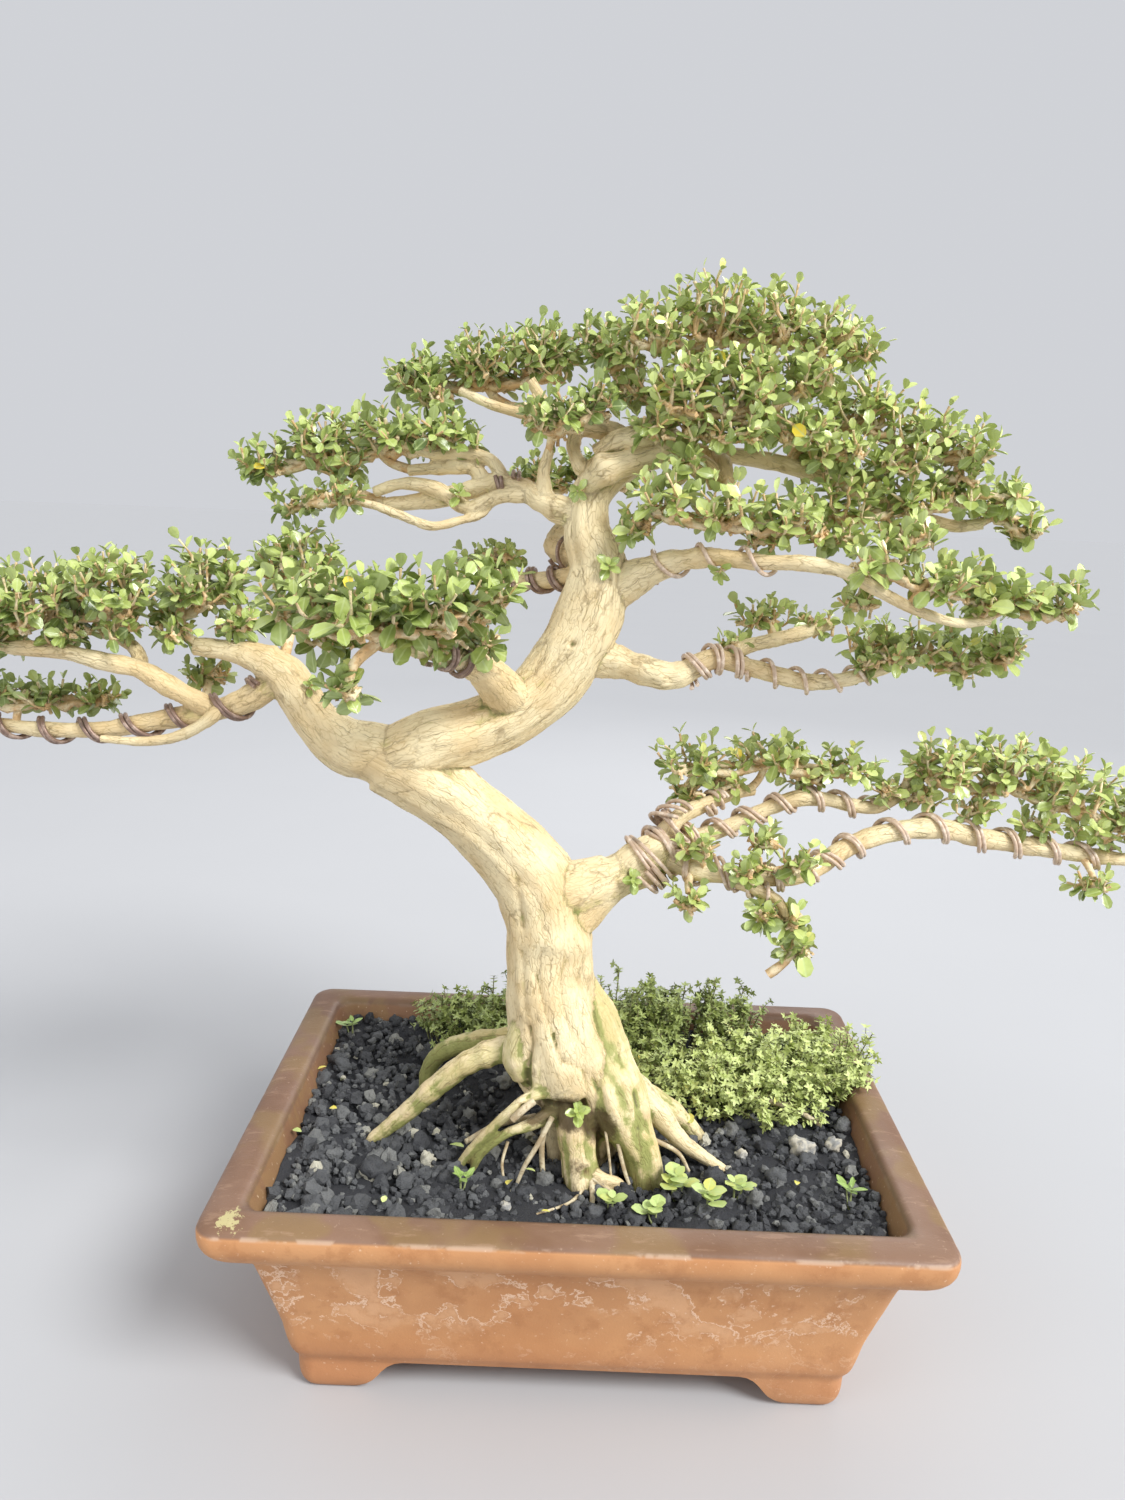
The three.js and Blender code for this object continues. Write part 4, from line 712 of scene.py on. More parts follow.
@dataclass
class Copies:
    """Copies of a part: where each stands, how it is turned and sized, and its tint."""

    part: Part
    at: list[np.ndarray] = field(default_factory=list)
    axes: list[np.ndarray] = field(default_factory=list)
    tint: list[float] = field(default_factory=list)

    def add(self, at: np.ndarray, axes: np.ndarray, tint: float) -> None:
        """One more copy; the rows of axes are its own X, Y and Z, scaled."""
        self.at.append(at)
        self.axes.append(axes)
        self.tint.append(tint)

    def merged(self, name: str, smooth: bool = True) -> bpy.types.Object:
        """All the copies as one mesh, each with its own corners.

        Args:
            name: The object's name.
            smooth: Whether its faces are shaded smooth between sharp outlines.

        Returns:
            The object.
        """
        count, (corners, wide) = len(self.at), self.part.faces.shape
        size = len(self.part.points)
        at = np.einsum("vj,njk->nvk", self.part.points, np.array(self.axes)) + np.array(self.at)[:, None, :]
        index = self.part.faces[None] + (np.arange(count) * size)[:, None, None]
        mesh = bpy.data.meshes.new(name)
        mesh.vertices.add(count * size)
        mesh.vertices.foreach_set("co", at.ravel())
        mesh.loops.add(count * corners * wide)
        mesh.loops.foreach_set("vertex_index", index.ravel())
        mesh.polygons.add(count * corners)
        mesh.polygons.foreach_set("loop_start", np.arange(count * corners) * wide)
        mesh.update(calc_edges=True)
        mesh.polygons.foreach_set("use_smooth", np.full(count * corners, smooth))
        mesh.uv_layers.new(name="UVMap").uv.foreach_set("vector", np.tile(self.part.uv.ravel(), count))
        store(mesh, "tint", np.repeat(np.array(self.tint), size))
        sharp = self.part.edge[read(mesh.edges, "vertices", 2, int) % size].all(axis=1)
        store(mesh, "sharp_edge", sharp, "BOOLEAN", "EDGE")
        mesh.update()
        whole = bpy.data.objects.new(name, mesh)
        bpy.context.collection.objects.link(whole)
        return whole

    def on_stems(self, name: str, leaf: bpy.types.Material, lines: Sequence[Line], bark: bpy.types.Material,
                 roundness: int = 0) -> bpy.types.Object:
        """All the copies as leaves, and the stems that bear them, as one mesh.

        Args:
            name: The object's name.
            leaf: The leaves' material.
            lines: The stems.
            bark: The stems' material.
            roundness: The stems' bevel resolution.

        Returns:
            The object.
        """
        leaves = dressed(self.merged(name), leaf)
        return joined(name, [leaves, dressed(tubes("stems", lines, roundness), bark)])


class Value:
    """A number that a shader works out over a surface, open to ordinary sums."""

    def __init__(self, shader: "Shader", socket: bpy.types.NodeSocket) -> None:
        """Wraps an output socket of the shader."""
        self.shader, self.socket = shader, socket

    def sum(self, operation: str, *others: "Value | float") -> "Value":
        """One Math node on this value.

        Args:
            operation: The node's operation.
            others: What its further inputs take.

        Returns:
            The result.
        """
        inputs = dict(enumerate([self, *others]))
        node = self.shader.add("ShaderNodeMath", {"operation": operation}, inputs)
        return Value(self.shader, node.outputs[0])

    def __add__(self, other: "Value | float") -> "Value":
        """The sum of both."""
        return self.sum("ADD", other)

    __radd__ = __add__

    def __mul__(self, other: "Value | float") -> "Value":
        """The product of both."""
        return self.sum("MULTIPLY", other)

    __rmul__ = __mul__

    def __sub__(self, other: "Value | float") -> "Value":
        """This less the other."""
        return self.sum("SUBTRACT", other)

    def __rsub__(self, other: float) -> "Value":
        """The other less this."""
        return self.sum("MULTIPLY", -1.0) + other

    def __abs__(self) -> "Value":
        """This without its sign."""
        return self.sum("ABSOLUTE")

    def between(self, low: float, high: float) -> "Value":
        """Nought below low and one above high, softly; high below low turns it round.

        Args:
            low: Where it leaves nought.
            high: Where it reaches one.

        Returns:
            The share.
        """
        ends = {1: low, 2: high} if low < high else {1: high, 2: low, 3: 1.0, 4: 0.0}
        node = self.shader.add("ShaderNodeMapRange", {"interpolation_type": "SMOOTHSTEP"}, {0: self, **ends})
        return Value(self.shader, node.outputs[0])


class Shader:
    """The node tree of one finish."""

    def __init__(self, name: str) -> None:
        """Starts a material of that name with a surface shader."""
        self.material = bpy.data.materials.new(name)
        self.material.use_nodes = True
        self.tree = self.material.node_tree
        self.tree.nodes.clear()
        self.surface = self.add("ShaderNodeBsdfPrincipled")
        self.add("ShaderNodeOutputMaterial", inputs={"Surface": self.surface.outputs[0]})

    def add(self, kind: str, settings: Mapping[str, Any] | None = None,
            inputs: Mapping[str | int, Any] | None = None) -> bpy.types.Node:
        """Adds a node.

        Args:
            kind: The node's type.
            settings: Its own settings, and a ramp's stops.
            inputs: Values or links by socket name or number.

        Returns:
            The node.
        """
        node = self.tree.nodes.new(kind)
        for name, value in (settings or {}).items():
            if name == "stops":
                self._stops(node.color_ramp.elements, value)
            else:
                setattr(node, name, value)
        for name, value in (inputs or {}).items():
            self.feed(node.inputs[name], value)
        return node

    @staticmethod
    def _stops(elements: bpy.types.ColorRampElements, stops: Sequence[tuple[float, Colour]]) -> None:
        """Sets a ramp's stops.

        Args:
            elements: The ramp's elements.
            stops: Place and colour of each.
        """
        for place, colour in stops[1:-1]:
            elements.new(place)
        for element, (place, colour) in zip(elements, stops):
            element.position, element.color = place, (*colour, 1.0)

    def feed(self, socket: bpy.types.NodeSocket, value: Any) -> None:
        """Links a value to a socket, or sets it there.

        Args:
            socket: The input.
            value: A Value, a socket, a number, a vector or a colour.
        """
        if isinstance(value, Value):
            value = value.socket
        if isinstance(value, bpy.types.NodeSocket):
            self.tree.links.new(value, socket)
        elif socket.type == "RGBA" and not isinstance(value, (int, float)):
            socket.default_value = (*value, 1.0)
        else:
            socket.default_value = value

    def place(self) -> bpy.types.NodeSocket:
        """The point on the object."""
        return self.add("ShaderNodeTexCoord").outputs["Object"]

    def height(self) -> Value:
        """The height above the feet, in millimetres."""
        node = self.add("ShaderNodeSeparateXYZ", inputs={0: self.place()})
        return Value(self, node.outputs["Z"]) * 1000.0

    def spot(self, at: Sequence[float], reach: float) -> Value:
        """How near the surface is to a table point: one there, nought at its reach.

        Args:
            at: The point, in table millimetres.
            reach: Where it ends, in millimetres.

        Returns:
            The share.
        """
        inputs = {0: self.place(), 1: tuple(placed([at])[0])}
        node = self.add("ShaderNodeVectorMath", {"operation": "DISTANCE"}, inputs)
        return Value(self, node.outputs["Value"]).between(reach * MM, 0.0)

    def within(self, half_x: float, half_y: float) -> Value:
        """One inside an upright box round the pot's axis, its half sizes in millimetres."""
        parts = self.add("ShaderNodeSeparateXYZ", inputs={0: self.place()}).outputs
        x, y = (abs(Value(self, parts[axis]) - float(ORIGIN[axis])) for axis in range(2))
        soft = 6
        return x.between((half_x + soft) * MM, half_x * MM) * y.between((half_y + soft) * MM, half_y * MM)

    def attribute(self, name: str, output: str = "Fac") -> Any:
        """A mesh attribute, as a Value, or its vector socket."""
        node = self.add("ShaderNodeAttribute", {"attribute_name": name})
        return node.outputs["Vector"] if output == "Vector" else Value(self, node.outputs["Fac"])

    def stretched(self, vector: bpy.types.NodeSocket, scale: Sequence[float]) -> bpy.types.NodeSocket:
        """A vector scaled along each axis."""
        return self.add("ShaderNodeVectorMath", {"operation": "MULTIPLY"}, {0: vector, 1: scale}).outputs[0]

    def noise(self, vector: bpy.types.NodeSocket, scale: float, detail: float = 3.0, rough: float = 0.55,
              bent: float = 0.0) -> Value:
        """Smooth noise from 0 to 1.

        Args:
            vector: Where it is read.
            scale: Waves in a metre.
            detail: Its octaves.
            rough: The share of the fine octaves.
            bent: How far it is distorted.

        Returns:
            The noise.
        """
        inputs = {"Vector": vector, "Scale": scale, "Detail": detail, "Roughness": rough, "Distortion": bent}
        return Value(self, self.add("ShaderNodeTexNoise", inputs=inputs).outputs[0])

    def warped(self, vector: bpy.types.NodeSocket, scale: float, amount: float) -> bpy.types.NodeSocket:
        """A vector moved about by noise of that many waves in a metre."""
        cloud = self.add("ShaderNodeTexNoise", inputs={"Vector": vector, "Scale": scale, "Detail": 2.0}).outputs[1]
        inputs = {0: cloud, 1: (amount,) * 3, 2: vector}
        return self.add("ShaderNodeVectorMath", {"operation": "MULTIPLY_ADD"}, inputs).outputs[0]

    def cells(self, vector: bpy.types.NodeSocket, scale: float, feature: str = "F1") -> Value:
        """Distances in a field of cells: to the cell's middle, or to its border.

        Args:
            vector: Where it is read.
            scale: Cells in a metre.
            feature: The texture's feature.

        Returns:
            The distance, in cells.
        """
        node = self.add("ShaderNodeTexVoronoi", {"feature": feature}, {"Vector": vector, "Scale": scale})
        return Value(self, node.outputs["Distance"])

    def ramp(self, value: Value, stops: Sequence[tuple[float, Colour]]) -> bpy.types.NodeSocket:
        """A colour read off a ramp."""
        return self.add("ShaderNodeValToRGB", {"stops": stops}, {0: value}).outputs[0]

    def mix(self, share: Value | float, first: Any, second: Any) -> bpy.types.NodeSocket:
        """Two colours or links mixed, by how much of the second shows."""
        return self.add("ShaderNodeMix", {"data_type": "RGBA"}, {0: share, 6: first, 7: second}).outputs[2]

    def relief(self, height: Value, depth: float, strength: float = 1.0) -> None:
        """Raises the surface by a height, in metres at one, on top of any relief so far."""
        inputs = {"Height": height, "Distance": depth, "Strength": strength}
        if self.surface.inputs["Normal"].links:
            inputs["Normal"] = self.surface.inputs["Normal"].links[0].from_socket
        self.feed(self.surface.inputs["Normal"], self.add("ShaderNodeBump", inputs=inputs).outputs[0])

    def set(self, **sockets: Any) -> bpy.types.Material:
        """Feeds the surface's sockets, their names with underscores, and returns the material."""
        for name, value in sockets.items():
            self.feed(self.surface.inputs[name.replace("_", " ").title().replace("Ior", "IOR")], value)
        return self.material


@dataclass(frozen=True)
class Bark:
    """Pale smooth bark with fine lengthwise lines, greener and darker low down, with shade painted into its folds
    and between its roots.
    """

    pale: Colour = (0.88, 0.75, 0.47)
    warm: Colour = (0.72, 0.53, 0.27)
    fibre: Colour = (0.52, 0.36, 0.15)
    crack: Colour = (0.4, 0.28, 0.1)
    seam: Colour = (0.2, 0.13, 0.055)
    # Painted shade: the darker tone laid into the skin's folds.
    fold: Colour = (0.4, 0.26, 0.09)
    # Painted shade, near black, for the deepest creases.
    deep: Colour = (0.06, 0.045, 0.025)
    # Painted shade for the gaps between the roots.
    shade_between_roots: Colour = (0.1, 0.065, 0.03)
    soiled: Colour = (0.3, 0.19, 0.08)
    film: Colour = (0.5, 0.47, 0.16)
    moss: Colour = (0.17, 0.2, 0.045)
    moss_tip: Colour = (0.4, 0.42, 0.13)

    def material(self) -> bpy.types.Material:
        """The bark's material."""
        s = Shader("bark")
        grain, place = s.attribute("bark", "Vector"), s.place()
        cavity, mossy, height = s.attribute("cavity"), s.attribute("moss"), s.height()
        patch, cloud, fine = s.noise(place, 16, 4), s.noise(place, 55, 4, 0.65), s.noise(place, 300, 4, 0.65)
        bent = s.warped(grain, 90, 0.006)
        fibre = s.noise(s.stretched(bent, (1, 1, 0.1)), 480, 4, 0.62)
        crackle = s.cells(s.stretched(bent, (1, 1, 0.24)), 300, "DISTANCE_TO_EDGE").between(0.1, 0.0)
        seam = s.cells(s.stretched(bent, (1, 1, 0.14)), 74, "DISTANCE_TO_EDGE").between(0.045, 0.0)
        seam = seam * cloud.between(0.42, 0.58)
        colour = s.mix(patch.between(0.38, 0.66) * 0.8, self.pale, self.warm)
        colour = s.mix(fibre.between(0.5, 0.7) * 0.4, colour, self.fibre)
        colour = s.mix(crackle * cloud.between(0.36, 0.6) * 0.46, colour, self.crack)
        # Painted shade: the folds of the skin darkened by their depth.
        colour = s.mix(cavity.between(0.05, 0.9) * 0.5, colour, self.fold)
        green = (cloud * 0.8 + patch * 0.35 + cavity * 0.16 + mossy).between(0.62, 0.82)
        colour = s.mix(green * 0.45, colour, self.film)
        low = height.between(290, 196)
        growth = (cloud * 0.8 + cavity * 0.4 + low * 0.32 + mossy * 1.1).between(0.66, 0.86)
        colour = s.mix(growth * 0.85, colour, s.mix(fine, self.moss, self.moss_tip))
        # Painted shade: the deepest creases darkened towards near black, more strongly low down.
        folds = (cavity + fine * 0.5 - 0.25).between(0.4, 1.15)
        colour = s.mix(folds * (low * 0.5 + 0.45), colour, self.deep)
        soiled = (height.between(222, 176) * 0.7 + cloud * 0.6 + cavity * 0.3).between(0.6, 1.1)
        colour = s.mix(soiled * 0.6, colour, self.soiled)
        # Painted shade in the gaps between the roots below the boss.
        gap = s.spot((-12, -106, 240), 26) + s.spot((18, -100, 228), 28) + s.spot((-40, -98, 238), 22)
        gap = gap + s.spot((0, -116, 196), 20) * 0.5
        colour = s.mix((gap * 1.3 + fine * 0.9 - 0.45).between(0.25, 0.75) * 0.85, colour, self.shade_between_roots)
        colour = s.mix(seam * 0.5, colour, self.seam)
        s.relief(fibre, 0.6 * MM, 0.6)
        s.relief(1 - crackle * 0.7 - seam, 0.7 * MM, 0.55)
        s.relief(fine, 0.8 * MM, 0.5)
        return s.set(base_color=colour, roughness=cloud * 0.25 + 0.5, specular_ior_level=0.35)


@dataclass(frozen=True)
class TwigBark:
    """Knobbly tan bark of the young twigs."""

    tan: Colour = (0.7, 0.47, 0.23)
    pale: Colour = (0.88, 0.74, 0.48)
    speck: Colour = (0.3, 0.2, 0.09)

    def material(self) -> bpy.types.Material:
        """The twigs' material."""
        s = Shader("twigBark")
        place = s.place()
        colour = s.mix(s.noise(place, 90, 3).between(0.4, 0.62), self.tan, self.pale)
        colour = s.mix(s.noise(place, 300, 2).between(0.56, 0.7) * 0.6, colour, self.speck)
        s.relief(s.noise(place, 420, 3), 0.8 * MM, 0.6)
        return s.set(base_color=colour, roughness=0.72)


@dataclass(frozen=True)
class Leaf:
    """Glossy blades with a paler midrib; the tint runs from old green through young green to yellow, and on the
    sunny sprays it also carries painted light.
    """

    name: str
    greens: tuple[Colour, Colour, Colour] = ((0.13, 0.19, 0.04), (0.39, 0.48, 0.12), (0.7, 0.78, 0.29))
    yellow: Colour = (0.8, 0.62, 0.05)
    rib: Colour = (0.55, 0.64, 0.28)
    lower: Colour = (0.46, 0.55, 0.24)
    roughness: float = 0.28

    def material(self) -> bpy.types.Material:
        """The leaves' material."""
        s = Shader(self.name)
        uv = s.add("ShaderNodeUVMap", {"uv_map": "UVMap"}).outputs[0]
        parts = s.add("ShaderNodeSeparateXYZ", inputs={0: uv})
        along, across = Value(s, parts.outputs[0]), Value(s, parts.outputs[1])
        tint, place = s.attribute("tint"), s.place()
        stops = [(0.0, self.greens[0]), (0.3, self.greens[1]), (0.62, self.greens[2]), (0.9, self.yellow)]
        colour = s.ramp(tint * 0.65 + (s.noise(place, 150, 2) - 0.5) * 0.25, stops)
        rib = abs(across - 0.5)
        veins = (along * 9.0 + rib * 7.0).sum("SINE").between(0.72, 1.0) * 0.2
        lower = along.between(Part.LOWER_SIDE - 0.5, Part.LOWER_SIDE - 0.4)
        colour = s.mix(rib.between(0.055, 0.02) * 0.5 + veins, colour, self.rib)
        colour = s.mix(lower * 0.5, colour, self.lower)
        s.relief(rib.between(0.0, 0.09) + (1 - veins * 2.0), 0.3 * MM, 0.35)
        return s.set(base_color=colour, roughness=lower * 0.25 + self.roughness, specular_ior_level=0.7)


@dataclass(frozen=True)
class Terracotta:
    """Unglazed brown-orange clay: a darker worn rim, chalky patches on the walls, specks and pits."""

    clay: Colour = (0.53, 0.245, 0.1)
    clay_light: Colour = (0.6, 0.3, 0.13)
    clay_dark: Colour = (0.42, 0.19, 0.08)
    cloud: Colour = (0.4, 0.165, 0.06)
    chalk: Colour = (0.78, 0.47, 0.27)
    fringe: Colour = (0.92, 0.68, 0.5)
    foot: Colour = (0.4, 0.17, 0.085)
    rim: Colour = (0.165, 0.092, 0.058)
    rim_light: Colour = (0.215, 0.13, 0.09)
    rim_olive: Colour = (0.23, 0.155, 0.06)
    rim_worn: Colour = (0.42, 0.28, 0.19)
    # A lighter broken line along the rim's top edge: worn chips, and partly a painted highlight.
    edge: Colour = (0.6, 0.42, 0.3)
    stain: Colour = (0.62, 0.56, 0.27)
    # Painted shade for the pot's inner wall, in the rim's dark tones.
    inside: Colour = (0.2, 0.125, 0.06)
    speck: Colour = (0.86, 0.66, 0.48)

    def material(self) -> bpy.types.Material:
        """The pot's material."""
        s = Shader("terracotta")
        place, height = s.place(), s.height()
        broad, cloud, fine = s.noise(place, 7, 4, 0.6), s.noise(place, 26, 5, 0.62, 0.6), s.noise(place, 240, 3)
        colour = s.mix(broad.between(0.38, 0.62), self.clay, self.clay_light)
        colour = s.mix(s.noise(place, 13, 3).between(0.5, 0.64) * 0.3, colour, self.clay_dark)
        colour = s.mix(s.noise(place, 36, 5, 0.68).between(0.5, 0.66) * 0.42, colour, self.cloud)
        wall = height.between(170, 150)
        spread = s.noise(s.warped(place, 40, 0.014), 27, 5, 0.64) + (s.noise(place, 8, 2) - 0.5) * 0.4
        upper = height.between(60, 96) * 0.75 + 0.25
        chalk = spread.between(0.545, 0.65) * wall * upper
        fringe = abs(spread - 0.565).between(0.02, 0.003) * cloud.between(0.42, 0.54) * wall * upper
        colour = s.mix(chalk * (cloud * 0.6 + 0.14), colour, self.chalk)
        colour = s.mix(fringe * 0.66, colour, self.fringe)
        colour = s.mix(height.between(66, 36) * 0.3, colour, self.foot)
        rim = height.between(190.5, 193.5)
        worn = s.noise(s.stretched(place, (0.25, 1, 1)), 120, 4, 0.7).between(0.56, 0.7)
        top = s.mix(broad.between(0.42, 0.6), self.rim, self.rim_light)
        top = s.mix(s.noise(place, 17, 2).between(0.5, 0.62) * 0.55, top, self.rim_olive)
        colour = s.mix(rim * 0.92, colour, s.mix(worn * 0.34, top, self.rim_worn))
        # Worn chips along the rim's top edge, partly a painted highlight.
        edge = height.between(189.5, 191.5) * height.between(194.5, 192.5) * s.noise(place, 34, 4).between(0.5, 0.6)
        colour = s.mix(edge * 0.6, colour, self.edge)
        corner = s.spot((-272, -206, 196), 30) * 0.34
        stain = s.noise(place, 110, 5, 0.75) + corner + s.spot((-250, -220, 186), 10) * 0.3
        colour = s.mix(stain.between(0.76, 0.8) * 0.75, colour, self.stain)
        # Painted shade: the inner wall above the soil darkened towards the rim's tones.
        inside = height.between(150, 158) * s.within(266, 193)
        colour = s.mix(inside * 0.8, colour, s.mix(cloud.between(0.42, 0.6), self.rim, self.inside))
        colour = s.mix(fine.between(0.65, 0.75) * (0.5 - rim * 0.35), colour, self.speck)
        s.relief(s.noise(place, 18, 3), 2.4 * MM, 0.5)
        s.relief(s.noise(place, 420, 4, 0.65), 0.5 * MM, 0.5)
        s.relief(fringe + chalk * 0.5, 0.3 * MM, 0.5)
        s.relief(s.cells(place, 130).between(0.0, 0.16), 0.4 * MM, 0.35)
        return s.set(base_color=colour, roughness=cloud * 0.3 + 0.42 - rim * 0.12, specular_ior_level=0.4)


@dataclass(frozen=True)
class Grit:
    """Dark porous lava grit, each stone in its own grey."""

    greys: Sequence[tuple[float, Colour]] = (
        (0.0, (0.04, 0.041, 0.046)), (0.42, (0.13, 0.134, 0.138)), (0.76, (0.31, 0.31, 0.28)),
        (1.0, (0.6, 0.57, 0.45)),
    )
    algae: Colour = (0.16, 0.19, 0.07)

    def material(self) -> bpy.types.Material:
        """The grit's material."""
        s = Shader("lavaGrit")
        place, tint = s.place(), s.attribute("tint")
        pores = s.noise(place, 620, 4, 0.7)
        colour = s.ramp(tint + (pores - 0.5) * 0.35, self.greys)
        algae = s.noise(place, 70, 3).between(0.58, 0.7) * tint.between(0.55, 0.8)
        colour = s.mix(algae * 0.6, colour, self.algae)
        s.relief(pores, 1.3 * MM, 0.85)
        s.relief(s.cells(place, 520).between(0.1, 0.5), 0.8 * MM, 0.6)
        return s.set(base_color=colour, roughness=0.88, specular_ior_level=0.3)


@dataclass(frozen=True)
class AgedWire:
    """Weathered brown aluminium training wire, dull and scratched along its length."""

    name: str = "agedWire"
    brown: Colour = (0.26, 0.17, 0.13)
    worn: Colour = (0.5, 0.38, 0.31)
    stain: Colour = (0.1, 0.085, 0.07)
    metallic: float = 0.35

    def material(self) -> bpy.types.Material:
        """The wire's material."""
        s = Shader(self.name)
        place = s.place()
        worn = s.noise(place, 160, 4, 0.6).between(0.45, 0.7)
        colour = s.mix(worn, self.brown, self.worn)
        colour = s.mix(s.noise(place, 45, 2).between(0.6, 0.7) * 0.5, colour, self.stain)
        s.relief(s.noise(place, 700, 2), 0.2 * MM, 0.4)
        return s.set(base_color=colour, metallic=self.metallic, roughness=worn * 0.2 + 0.38)


@dataclass(frozen=True)
class MoldedPlastic:
    """Matte dark plastic of the screens over the drain holes."""

    dark: Colour = (0.018, 0.021, 0.018)
    dusty: Colour = (0.04, 0.042, 0.036)

    def material(self) -> bpy.types.Material:
        """The screens' material."""
        s = Shader("screenPlastic")
        colour = s.mix(s.noise(s.place(), 60, 3).between(0.4, 0.6), self.dark, self.dusty)
        s.relief(s.noise(s.place(), 900, 2), 0.1 * MM, 0.4)
        return s.set(base_color=colour, roughness=0.55)


class Slot(Enum):
    """Names of the material slots that the pieces here are passed with."""

    POT = "pot"
    SOIL = "soil"
    BARK = "bark"
    WIRE = "wire"
    LEAF = "leaf"
    COVER = "cover"
    SEEDLING = "seedling"


def settle(piece: bpy.types.Object, slot: Slot, *nodes: str) -> bpy.types.Object:
    """Rides a finished piece on the part, hides the solids that it replaces and logs its triangles.

    Args:
        piece: The object.
        slot: A material slot; not used.
        nodes: The solids that it replaces.

    Returns:
        The piece.
    """
    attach(piece, "root")
    if nodes:
        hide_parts(*nodes)
    faces = sum(len(face.vertices) - 2 for face in piece.data.polygons)
    LOG.info("%s: %d triangles", piece.name, faces)
    return piece


@dataclass
class Tree:
    """Trunk, branches and surface roots, grown as one piece of wood."""

    voxel: float = 2.68 * MM
    smoothing: int = 7
    joint: float = 7 * MM
    fold: float = 1.6 * MM
    finish: Bark = Bark()

    def build(self) -> bpy.types.Object:
        """Sweeps the limbs, melts them into one skin and presses the relief into it.

        Returns:
            The finished wood.
        """
        wood = tubes("premnaWood", [path.every(4) for path in LIMBS.values()], 5)
        apply_modifier(wood, "REMESH", mode="VOXEL", voxel_size=self.voxel, use_smooth_shade=True)
        apply_modifier(wood, "SMOOTH", factor=0.5, iterations=self.smoothing)
        self._relief(wood)
        self.dress(wood)
        return settle(wood, Slot.BARK, "tree")

    def _relief(self, wood: bpy.types.Object) -> None:
        """Moves the skin out and in along each limb and stores what the bark is drawn from.

        Args:
            wood: The melted wood.
        """
        mesh = wood.data
        points = read(mesh.vertices, "co", 3)
        near = Nearest(points)
        pure = np.clip((near.next_gap - near.gap) / self.joint, 0, 1)
        pure = np.where(near.past, 0, pure * pure * (3 - 2 * pure))
        round_ = np.column_stack([np.cos(near.angle), np.sin(near.angle)])
        swell = np.array([
            self._swelling(*row) for row in zip(round_[:, 0], round_[:, 1], near.along, near.radius, near.limb)
        ])
        points = points + near.out * (pure * (-near.gap) + (0.35 + 0.65 * pure) * swell)[:, None]
        for sign, marks in ((1, BURRS), (-1, HOLLOWS)):
            for x, y, z, radius, height in marks:
                apart = np.linalg.norm(points - placed([(x, y, z)])[0], axis=1) / (radius * MM)
                points = points + near.out * (sign * height * MM * np.exp(-(apart**2) * 1.5))[:, None]
        points = self._grooves(points, near.out)
        mesh.vertices.foreach_set("co", points.ravel())
        mesh.update()
        grain = np.column_stack([round_ * near.radius[:, None], near.along + near.limb * 0.37])
        moss = np.array([MOSS.get(name, 0.0) for name in LIMBS])[near.limb]
        store(mesh, "bark", grain, "FLOAT_VECTOR")
        store(mesh, "moss", moss * np.clip(1.2 - 0.5 * near.out[:, 2], 0.5, 2))
        # The fold depth: the bark paints shade into the folds by it, and places its moss and soil by it too.
        store(mesh, "cavity", self._cavity(mesh, points))

    @staticmethod
    def _grooves(points: np.ndarray, out: np.ndarray) -> np.ndarray:
        """Presses the lines of the trunk's front into its skin.

        Args:
            points: The skin's points.
            out: The way that each faces.

        Returns:
            The moved points.
        """
        front = np.clip(-out[:, 1] * 3, 0, 1) * (points[:, 1] < ORIGIN[1] - 0.05)
        moved = points.copy()
        for course, half, depth in GROOVES:
            line = placed([(x, 0, z) for x, z in course])[:, [0, 2]]
            near = np.full(len(points), 1.0)
            for start, end in zip(line[:-1], line[1:]):
                way = end - start
                share = np.clip((points[:, [0, 2]] - start) @ way / way.dot(way), 0, 1)
                near = np.minimum(near, np.linalg.norm(points[:, [0, 2]] - start - share[:, None] * way, axis=1))
            moved -= out * (front * depth * MM * np.exp(-((near / (half * MM)) ** 2)))[:, None]
        return moved

    @staticmethod
    def _swelling(x: float, y: float, along: float, radius: float, limb: int) -> float:
        """How far the skin stands out at a place on a limb.

        Args:
            x: Cosine of the angle round the limb.
            y: Its sine.
            along: The run from its base.
            radius: Its radius there.
            limb: Its number.

        Returns:
            The height, in metres.
        """
        run = along * 5.5
        flute = noise.noise((x * 1.5 + limb, y * 1.5, run))
        ridge = 1 - abs(noise.noise((x * 2.6, y * 2.6 + limb, run * 1.2 + 7))) * 2.6
        lump = noise.noise((x * 1.2 + 3, y * 1.2 + limb, along * 38))
        knuckle = noise.noise((limb * 3.1, 0.5, along * 85)) if radius < 0.014 else 0.0
        return radius * (0.075 * flute + 0.05 * lump + 0.16 * knuckle) + min(radius, 0.03) * 0.055 * ridge

    def _cavity(self, mesh: bpy.types.Mesh, points: np.ndarray) -> np.ndarray:
        """How deep each point lies in a fold, about one in a sharp crease.

        Args:
            mesh: The skin.
            points: Its points.

        Returns:
            The depth of each.
        """
        ends = read(mesh.edges, "vertices", 2, int)
        a, b = ends.T
        count = np.maximum(np.bincount(ends.ravel(), minlength=len(points)), 1)[:, None]
        soft = points.copy()
        for _ in range(14):
            total = np.column_stack([
                np.bincount(a, soft[b, axis], len(points)) + np.bincount(b, soft[a, axis], len(points))
                for axis in range(3)
            ])
            soft = 0.3 * soft + 0.7 * total / count
        return np.einsum("ij,ij->i", soft - points, read(mesh.vertices, "normal", 3)) / self.fold

    def dress(self, wood: bpy.types.Object) -> None:
        """Gives the wood its bark."""
        dressed(wood, self.finish.material())


